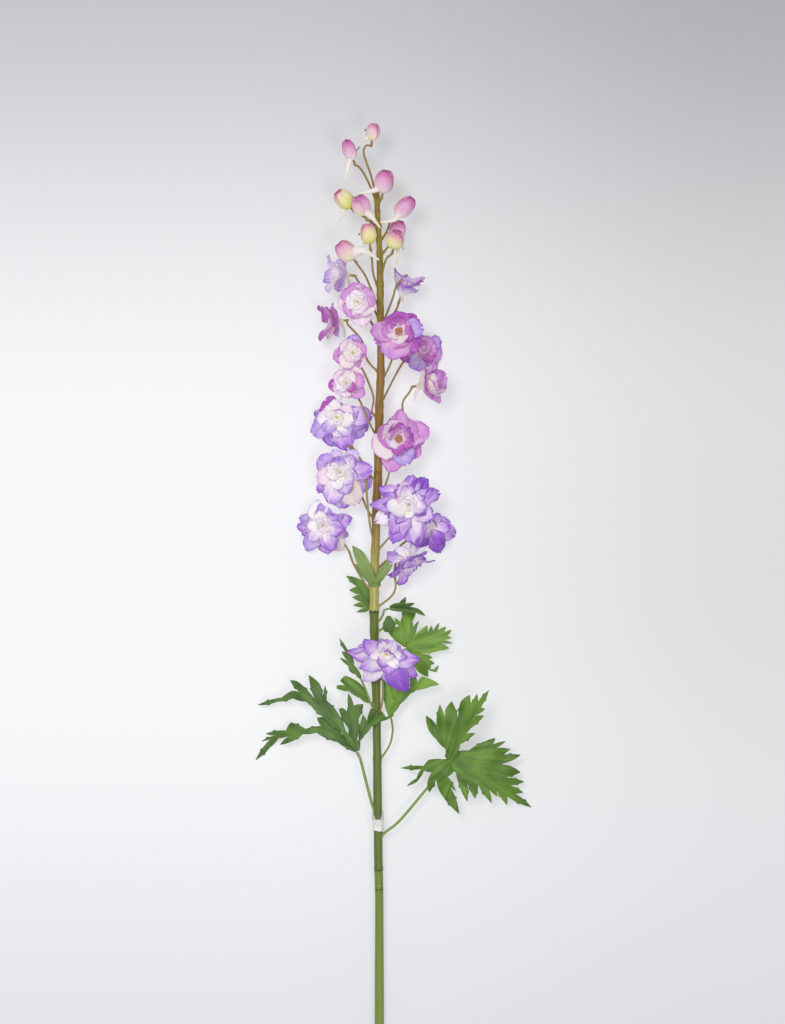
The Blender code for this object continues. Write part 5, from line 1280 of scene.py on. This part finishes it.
def petal_group():
    """Cloth of a petal: pale at its base, deeper to its tip and rim, with fanned streaks."""
    tree, g, source, target = start_group("Fanned petal", ("Base", "Middle", "Edge", "Rim"),
                                          {"Spread": 0.2, "Streaks": 0.5, "Patches": 0.2})
    x, y = g.blade()
    u = g.math("MODULO", x, 2.0)
    seed = g.times(g.math("FLOOR", g.math("DIVIDE", x, 2.0)), 3.7)
    side = g.math("ABSOLUTE", y)
    streak = g.streaks((u, 1.4), (y, 4.5), seed, 3.0)
    blotch = g.streaks((u, 2.6), (y, 1.7), g.plus(seed, 40.0))
    vein = g.streaks((u, 1.6), (y, 15.0), seed)
    shift = g.times(g.minus(streak, 0.5), source["Streaks"])
    t = g.plus(g.plus(u, g.times(g.times(side, side), 0.2)), shift)
    t = g.plus(t, g.times(g.minus(blotch, 0.5), g.times(source["Streaks"], 1.6)))
    t = g.minus(t, source["Spread"])
    colour = g.mix(g.ease(t, -0.05, 0.36), source["Base"], source["Middle"])
    colour = g.mix(g.ease(t, 0.26, 0.84), colour, source["Edge"])
    blue = g.streaks((u, 3.1), (y, 1.3), g.plus(seed, 80.0), 1.0)
    blue = g.times(g.times(g.ease(blue, 0.5, 0.66), g.ease(u, 0.35, 0.7)), source["Patches"])
    colour = g.mix(blue, colour, paint((178, 168, 228)))
    veined = g.times(g.ease(vein, 0.5, 0.75), g.times(g.ease(u, 0.12, 0.5), 0.24))
    colour = g.mix(veined, colour, source["Rim"])
    light = g.times(g.ease(g.minus(1.0, vein), 0.52, 0.78), 0.14)
    colour = g.mix(light, colour, source["Base"])
    edge = g.math("MAXIMUM", g.times(g.ease(side, 0.86, 1.0), g.ease(u, 0.25, 0.6)), g.ease(u, 0.95, 1.0))
    edge = g.times(edge, g.times(g.ease(blotch, 0.3, 0.6), 0.85), clamp=True)
    colour = g.mix(edge, colour, source["Rim"])
    g.feed(target["Color"], colour)
    g.feed(target["Height"], g.plus(g.times(vein, 0.7), g.times(streak, 0.6)))
    return tree


def grain_group():
    """Fine irregular grain, as of pressed cloth or moulded skin."""
    tree, g, source, target = start_group("Fine grain", (), {"Scale": 900.0}, ("Height", "Mask"))
    where = g.where()
    g.feed(target["Height"], g.noise(where, source["Scale"]))
    g.feed(target["Mask"], g.noise(where, g.times(source["Scale"], 0.07)))
    return tree


def leaf_group():
    """Pressed leaf: a pale midrib, side veins that fan out from it, and clouded green."""
    tree, g, source, target = start_group("Veined leaf", ("Dark", "Light", "Vein"), {})
    x, y = g.blade()
    reach = g.minus(g.math("MODULO", x, 20.0), 5.0)
    leaf = g.math("FLOOR", g.math("DIVIDE", x, 20.0))
    fan = g.math("DIVIDE", y, g.plus(g.math("MAXIMUM", reach, 0.0), 1.4))
    cloud = g.streaks((x, 0.5), (y, 0.9))
    fanned = g.streaks((fan, 7.0), (reach, 0.3), leaf, 3.0)
    veins = g.ease(g.streaks((fan, 34.0), (reach, 0.2), leaf, 1.0), 0.58, 0.7)
    midrib = g.minus(1.0, g.ease(g.math("ABSOLUTE", y), 0.015, 0.07))
    lines = g.math("MAXIMUM", g.times(veins, 0.5), midrib)
    tone = g.plus(g.ease(fanned, 0.25, 0.72), g.times(g.minus(cloud, 0.5), 0.9), clamp=True)
    colour = g.mix(tone, source["Dark"], source["Light"])
    g.feed(target["Color"], g.mix(g.times(lines, 0.35), colour, source["Vein"]))
    g.feed(target["Height"], g.minus(g.times(fanned, 0.5), lines))
    return tree


def stem_group():
    """Skin of a stem: streaks along it, a painted sheen that pales both flanks, and a colour that changes on
    the way up.
    """
    tree, g, source, target = start_group("Streaked stem", ("Low", "High", "Streak", "Side"),
                                          {"From": 0.0, "To": 1.0, "Amount": 0.5})
    x, y = g.blade()
    turn = g.times(y, 6.2832)
    ring = g.place(g.math("COSINE", turn), g.math("SINE", turn), g.times(x, 0.12))
    streak, fine = g.noise(ring, 3.2, 3.0), g.noise(ring, 9.0)
    along = g.split(g.where())[1]
    climb = g.ease(along, source["From"], source["To"])
    climb = g.plus(climb, g.times(g.minus(streak, 0.5), 0.35), clamp=True)
    colour = g.mix(climb, source["Low"], source["High"])
    colour = g.mix(g.times(g.ease(streak, 0.5, 0.68), source["Amount"]), colour, source["Streak"])
    # Painted sheen: the two flanks that face sideways are mixed towards a paler colour.
    sheen_mask = g.times(g.ease(g.math("ABSOLUTE", g.math("COSINE", turn)), 0.72, 0.98), 0.5)
    g.feed(target["Color"], g.mix(sheen_mask, colour, source["Side"]))
    g.feed(target["Height"], g.plus(g.times(streak, 0.7), g.times(fine, 0.4)))
    return tree


def start_material(name):
    """Material with a graph for its nodes, and the inputs of its shader."""
    material = bpy.data.materials.new(name)
    material.use_nodes = True
    return material, Graph(material.node_tree), material.node_tree.nodes["Principled BSDF"].inputs


def finish_material(name, groups, kind, values, roughness, grain, bump, **shader_values):
    """Material whose colour and relief come from a group, with fine grain over it."""
    material, g, shader = start_material(name)
    look = g.add("ShaderNodeGroup", node_tree=groups[kind])
    for key, value in values.items():
        look.inputs[key].default_value = value
    speck = g.add("ShaderNodeGroup", node_tree=groups["grain"])
    speck.inputs["Scale"].default_value = grain
    relief = g.plus(look.outputs["Height"], g.times(speck.outputs["Height"], 0.25))
    g.feed(shader["Base Color"], look.outputs["Color"])
    # Where an emission strength is given, the surface glows in its own colour: painted light that lifts its
    # shade.
    if "Emission_Strength" in shader_values:
        g.feed(shader["Emission Color"], look.outputs["Color"])
    g.feed(shader["Roughness"], g.math("MULTIPLY_ADD", speck.outputs["Mask"], 0.2, roughness - 0.1))
    g.feed(shader["Normal"], g.bump(relief, bump, 0.0006))
    for key, value in shader_values.items():
        shader[key.replace("_", " ")].default_value = value
    material.diffuse_color = list(values.values())[1]
    return material


def petal_material(groups, name, palette, streaks):
    """Cloth petal with the colours of a palette, glowing faintly in them as painted light that lifts its
    shade.
    """
    *colours, spread, patches = palette
    values = {**dict(zip(("Base", "Middle", "Edge", "Rim"), map(paint, colours))),
              "Spread": spread, "Streaks": streaks, "Patches": patches}
    return finish_material(name, groups, "petal", values, 0.68, 1400.0, 0.4, Subsurface_Weight=0.3,
                           Subsurface_Scale=0.0014, Subsurface_Radius=(1.0, 0.8, 0.9),
                           Emission_Strength=0.1, Specular_IOR_Level=0.3, Sheen_Weight=0.12)


def stem_material(groups, name, *look):
    """Moulded stem or stalk."""
    *colours, span, amount = look
    values = {**dict(zip(("Low", "High", "Streak", "Side"), map(paint, colours))),
              "From": span[0], "To": span[1], "Amount": amount}
    return finish_material(name, groups, "stem", values, 0.48, 1100.0, 0.22, Specular_IOR_Level=0.4)


def leaf_material(groups, name, *colours):
    """Pressed leaf."""
    values = dict(zip(("Dark", "Light", "Vein"), map(paint, colours)))
    return finish_material(name, groups, "leaf", values, 0.5, 1500.0, 0.35, Subsurface_Weight=0.12,
                           Subsurface_Scale=0.0008, Specular_IOR_Level=0.4)


def film_material():
    """Clear crumpled film, whiter where it is creased."""
    material, g, shader = start_material("clear film")
    crease = g.noise(g.where(), 300.0)
    flap = g.ease(g.blade()[0], 0.85, 1.0)
    g.feed(shader["Base Color"], g.mix(crease, paint((232, 228, 224)), paint((246, 244, 242))))
    cover = g.math("MULTIPLY_ADD", g.ease(crease, 0.4, 0.6), 0.12, 0.84)
    g.feed(shader["Alpha"], g.minus(cover, g.times(flap, 0.42)))
    g.feed(shader["Roughness"], g.math("MULTIPLY_ADD", crease, 0.3, 0.25))
    g.feed(shader["Normal"], g.bump(crease, 0.4, 0.0005))
    return material


def world_y(along):
    """A length along the plant, as the frame's own y in metres."""
    return along * MM + float(ORIGIN[1])


# The other finishes: each one's name, its colours in the order of their group, and its values

HORN_LOOKS = {
    "horn F": ("flushed horn", ((236, 231, 214), (236, 228, 222), (226, 176, 208), (226, 176, 208),
                                0.2, 0.0), 0.1),
    "horn": ("pale horn", ((222, 212, 176), (234, 229, 214), (232, 216, 224), (214, 204, 190),
                           0.1, 0.0), 0.2),
}
POLLEN = {"dark": (150, 122, 70), "rust": (186, 128, 78), "yellow": (222, 206, 150), "pink": (226, 200, 190)}
# Stem skins: low and high colours, streak colour and the painted sheen of the flanks, where the colour
# climbs, and the share of streaks.
STEM_LOOKS = {
    # The dark finish colours the bud stubs and the ring round the pip, and paints the shade at the stem's
    # joint and the shadow at the sleeve's step.
    "dark and shade": ("dark stub and painted shade", (62, 74, 44), (74, 86, 50), (44, 50, 34), (86, 92, 66), (0.0, 1.0), 0.6),
    "mid stem": ("flowering stem", (184, 178, 100), (138, 104, 46), (108, 74, 34), (176, 154, 96),
                 (world_y(510), world_y(580)), 0.55),
    "top stem": ("upper stem", (146, 110, 52), (144, 132, 46), (92, 64, 28), (176, 158, 86),
                 (world_y(670), world_y(790)), 0.75),
    "leafy stem": ("middle stem", (102, 120, 52), (104, 116, 44), (70, 84, 32), (150, 142, 104),
                   (world_y(300), world_y(450)), 0.6),
    "bare stem": ("lower stem", (126, 144, 64), (116, 136, 58), (92, 112, 40), (172, 152, 130),
                  (world_y(120), world_y(260)), 0.4),
    "stalk": ("floret stalk", (164, 144, 80), (150, 126, 62), (122, 80, 42), (176, 164, 98),
              (world_y(560), world_y(760)), 0.7),
    "leaf stalk": ("leaf stalk", (134, 158, 78), (128, 148, 74), (104, 124, 56), (158, 174, 106),
                   (world_y(300), world_y(470)), 0.4),
}
LEAF_LOOKS = {
    "leaf light": ("light leaf", (64, 102, 26), (108, 146, 48), (132, 166, 78)),
    "leaf deep": ("deep leaf", (54, 84, 32), (96, 134, 54), (122, 154, 80)),
    "leaf bright": ("bright leaf", (84, 126, 32), (126, 166, 58), (146, 182, 88)),
    "bract": ("bract", (100, 130, 60), (138, 160, 92), (160, 178, 116)),
}
MATERIALS = {}


def materials():
    """Every finish of the spike by the name that its pieces ask for, made once."""
    if MATERIALS:
        return MATERIALS
    groups = {"petal": petal_group(), "grain": grain_group(), "leaf": leaf_group(), "stem": stem_group()}
    for key, palette in PALETTES.items():
        MATERIALS[key] = petal_material(groups, "petal " + key, palette, 0.15 if key in "SFGYR" else 0.5)
    for key, look in HORN_LOOKS.items():
        MATERIALS[key] = petal_material(groups, *look)
    for knot, tone in POLLEN.items():
        pale = tuple(min(255, c + 30) for c in tone)
        palette = (tone, pale, tone, tone, 0.3, 0.0)
        MATERIALS["stamen " + knot] = petal_material(groups, knot + " stamen", palette, 0.3)
    for key, look in STEM_LOOKS.items():
        MATERIALS[key] = stem_material(groups, *look)
    for key, look in LEAF_LOOKS.items():
        MATERIALS[key] = leaf_material(groups, *look)
    MATERIALS["film"] = film_material()
    return MATERIALS


# Stage

VIEW_CENTRE = (11.3, 571.0, 20.0)
VIEW_LENS = 165.5
VIEW_HEIGHT = 4.0
FLOOR_SIZE = 9.0
LAMPS = (("window light", (-0.8, 0.9, 3.2), 1.0), ("fill light", (0.9, -0.8, 3.2), 0.55))
LAMP_SIZE = 1.2
LAMP_AIM = (0, 0.1, 0)


def link_new(name, data):
    """A new object in the scene."""
    obj = bpy.data.objects.new(name, data)
    bpy.context.scene.collection.objects.link(obj)
    return obj


def build_stage(settings):
    """Pale floor, soft lights and the camera that looks down on the spike."""
    scene = bpy.context.scene
    centre = ORIGIN + np.array(VIEW_CENTRE) * MM
    mesh = bpy.data.meshes.new("floor")
    corners = [(x * FLOOR_SIZE, y * FLOOR_SIZE, 0) for x, y in ((-1, -1), (1, -1), (1, 1), (-1, 1))]
    mesh.from_pydata(corners, [], [(0, 1, 2, 3)])
    mesh.materials.append(floor_material(settings, centre))
    link_new("floor", mesh)
    camera = link_new("view from above", bpy.data.cameras.new("view from above"))
    camera.data.lens = VIEW_LENS
    camera.data.sensor_width = 36.0
    camera.data.clip_end = 60.0
    camera.location = (centre[0], centre[1], VIEW_HEIGHT + centre[2])
    scene.camera = camera
    for name, place, share in LAMPS:
        light = bpy.data.lights.new(name, "AREA")
        light.shape = "DISK"
        light.size = LAMP_SIZE
        light.energy = settings.light_power * share
        lamp = link_new(name, light)
        lamp.location = place
        lamp.rotation_euler = (Vector(LAMP_AIM) - Vector(place)).to_track_quat("-Z", "Y").to_euler()
    world = bpy.data.worlds.new("studio")
    world.use_nodes = True
    background = world.node_tree.nodes["Background"]
    background.inputs["Color"].default_value = (0.97, 0.98, 1.0, 1.0)
    background.inputs["Strength"].default_value = settings.sky
    scene.world = world
    scene.view_settings.view_transform = "Standard"


def floor_material(settings, centre):
    """Pale matt paper with painted shade, greyer at its far end, a little at its near end and on the right,
    and glowing with part of its tone as painted light that keeps shadows on it faint.
    """
    material, g, shader = start_material("pale paper")
    where = g.where()
    along = g.split(where)[1]
    down = g.times(along, -1.0)
    x, y = float(centre[0]), float(centre[1])
    paper = paint([255.0 * c for c in settings.paper])
    # Painted shade: the paper greys towards its far end and a little towards its near end, and is darker on
    # the right, less so near its near end.
    tone = g.mix(g.ease(along, y + 0.06, y + 0.52), paper, paint((194, 193, 198)))
    tone = g.mix(g.ease(down, 0.15 - y, 0.5 - y), tone, paint((228, 228, 233)))
    shade_fade = g.math("MULTIPLY_ADD", g.ease(down, 0.05 - y, 0.45 - y), -0.7, 1.0)
    across = g.times(g.ease(g.split(where)[0], x - 0.14, x + 0.34), shade_fade)
    tone = g.mix(across, tone, (0.774, 0.774, 0.774, 1.0), "MULTIPLY")
    # Painted light: the paper glows with 0.6 of its tone, so that shadows on it stay faint.
    g.feed(shader["Emission Color"], tone)
    shader["Emission Strength"].default_value = 0.6
    g.feed(shader["Base Color"], g.mix(0.6, tone, (0.0, 0.0, 0.0, 1.0)))
    shader["Roughness"].default_value = 0.9
    shader["Specular IOR Level"].default_value = 0.1
    g.feed(shader["Normal"], g.bump(g.noise(where, 700.0), 0.05, 0.0004))
    return material


# Settings, operators and panel

class SpikeCloth(bpy.types.PropertyGroup):
    """Sizes of the florets, buds and leaves."""
    cloth: bpy.props.FloatProperty(name="Petal cloth", description="Thickness of a petal", default=0.35 * MM,
                                   min=0.1 * MM, max=0.8 * MM, unit="LENGTH")
    ruffle: bpy.props.FloatProperty(name="Ruffle", description="Height of the waves along a petal's edge",
                                    default=1.0 * MM, min=0.0, max=2.0 * MM, unit="LENGTH")
    blade: bpy.props.FloatProperty(name="Leaf cloth", description="Thickness of a leaf", default=0.45 * MM,
                                   min=0.1 * MM, max=1.0 * MM, unit="LENGTH")
    vein_depth: bpy.props.FloatProperty(name="Pleat relief",
                                        description="Height of the pleats pressed into the leaves",
                                        default=0.27 * MM, min=0.0, max=1.0 * MM, unit="LENGTH")


class SpikeStage(bpy.types.PropertyGroup):
    """Paper and lights round the spike."""
    paper: bpy.props.FloatVectorProperty(name="Paper", description="Colour of the floor, as displayed",
                                         default=(0.975, 0.975, 0.984), min=0.0, max=1.0, size=3,
                                         subtype="COLOR_GAMMA")
    light_power: bpy.props.FloatProperty(name="Light", description="Power of the main soft light",
                                         default=52.0, min=0.0, max=500.0, unit="POWER")
    sky: bpy.props.FloatProperty(name="Surround", description="Strength of the even light all round",
                                 default=0.36, min=0.0, max=3.0)


class SPIKE_OT_stage(bpy.types.Operator):
    """Set the paper, the lights and the camera"""
    bl_idname = "spike.stage"
    bl_label = "Stage"

    def execute(self, context):
        build_stage(context.scene.spike_stage)
        return {"FINISHED"}


class SPIKE_OT_stems(bpy.types.Operator):
    """Build the three lengths of stem with their stalks"""
    bl_idname = "spike.stems"
    bl_label = "Stems and Stalks"

    def execute(self, context):
        build_upper_stem()
        build_middle_stem()
        build_lower_stem()
        return {"FINISHED"}


class SPIKE_OT_band(bpy.types.Operator):
    """Build the clear film taped round the stem"""
    bl_idname = "spike.band"
    bl_label = "Clear Band"

    def execute(self, context):
        build_band()
        return {"FINISHED"}


class SPIKE_OT_leaves(bpy.types.Operator):
    """Build the cut leaves and the narrow ones on their sheath"""
    bl_idname = "spike.leaves"
    bl_label = "Leaves"

    def execute(self, context):
        for number, name in enumerate(LEAVES):
            build_leaf(name, number, context.scene.spike_cloth)
        build_bracts(context.scene.spike_cloth)
        return {"FINISHED"}


class SPIKE_OT_buds(bpy.types.Operator):
    """Build the closed buds with their horns"""
    bl_idname = "spike.buds"
    bl_label = "Buds"

    def execute(self, context):
        for name, spec in BUDS.items():
            build_bud(name, spec)
        return {"FINISHED"}


class SPIKE_OT_blooms(bpy.types.Operator):
    """Build the open florets and their hearts"""
    bl_idname = "spike.blooms"
    bl_label = "Florets"

    def execute(self, context):
        for name, spec in BLOOMS.items():
            build_bloom(name, spec, context.scene.spike_cloth)
        return {"FINISHED"}


class VIEW3D_PT_spike(bpy.types.Panel):
    """Settings and builders of the spike"""
    bl_label = "Delphinium Spike"
    bl_space_type = "VIEW_3D"
    bl_region_type = "UI"
    bl_category = "Spike"

    def draw(self, context):
        layout = self.layout
        for group, names in ((context.scene.spike_cloth, ("cloth", "ruffle", "blade", "vein_depth")),
                             (context.scene.spike_stage, ("paper", "light_power", "sky"))):
            for name in names:
                layout.prop(group, name)
        for operator in OPERATORS:
            layout.operator(operator.bl_idname)


OPERATORS = (SPIKE_OT_stage, SPIKE_OT_stems, SPIKE_OT_band, SPIKE_OT_leaves, SPIKE_OT_buds, SPIKE_OT_blooms)
CLASSES = (SpikeCloth, SpikeStage, *OPERATORS, VIEW3D_PT_spike)


def register():
    """Add the settings, operators and panel."""
    for cls in CLASSES:
        bpy.utils.register_class(cls)
    bpy.types.Scene.spike_cloth = bpy.props.PointerProperty(type=SpikeCloth)
    bpy.types.Scene.spike_stage = bpy.props.PointerProperty(type=SpikeStage)


def unregister():
    """Take them away again."""
    del bpy.types.Scene.spike_cloth
    del bpy.types.Scene.spike_stage
    for cls in reversed(CLASSES):
        bpy.utils.unregister_class(cls)


def main():
    """Build the whole spike on its stage."""
    register()
    bpy.ops.spike.stage()
    bpy.ops.spike.stems()
    bpy.ops.spike.band()
    bpy.ops.spike.leaves()
    bpy.ops.spike.buds()
    bpy.ops.spike.blooms()


if __name__ == "__main__":
    main()
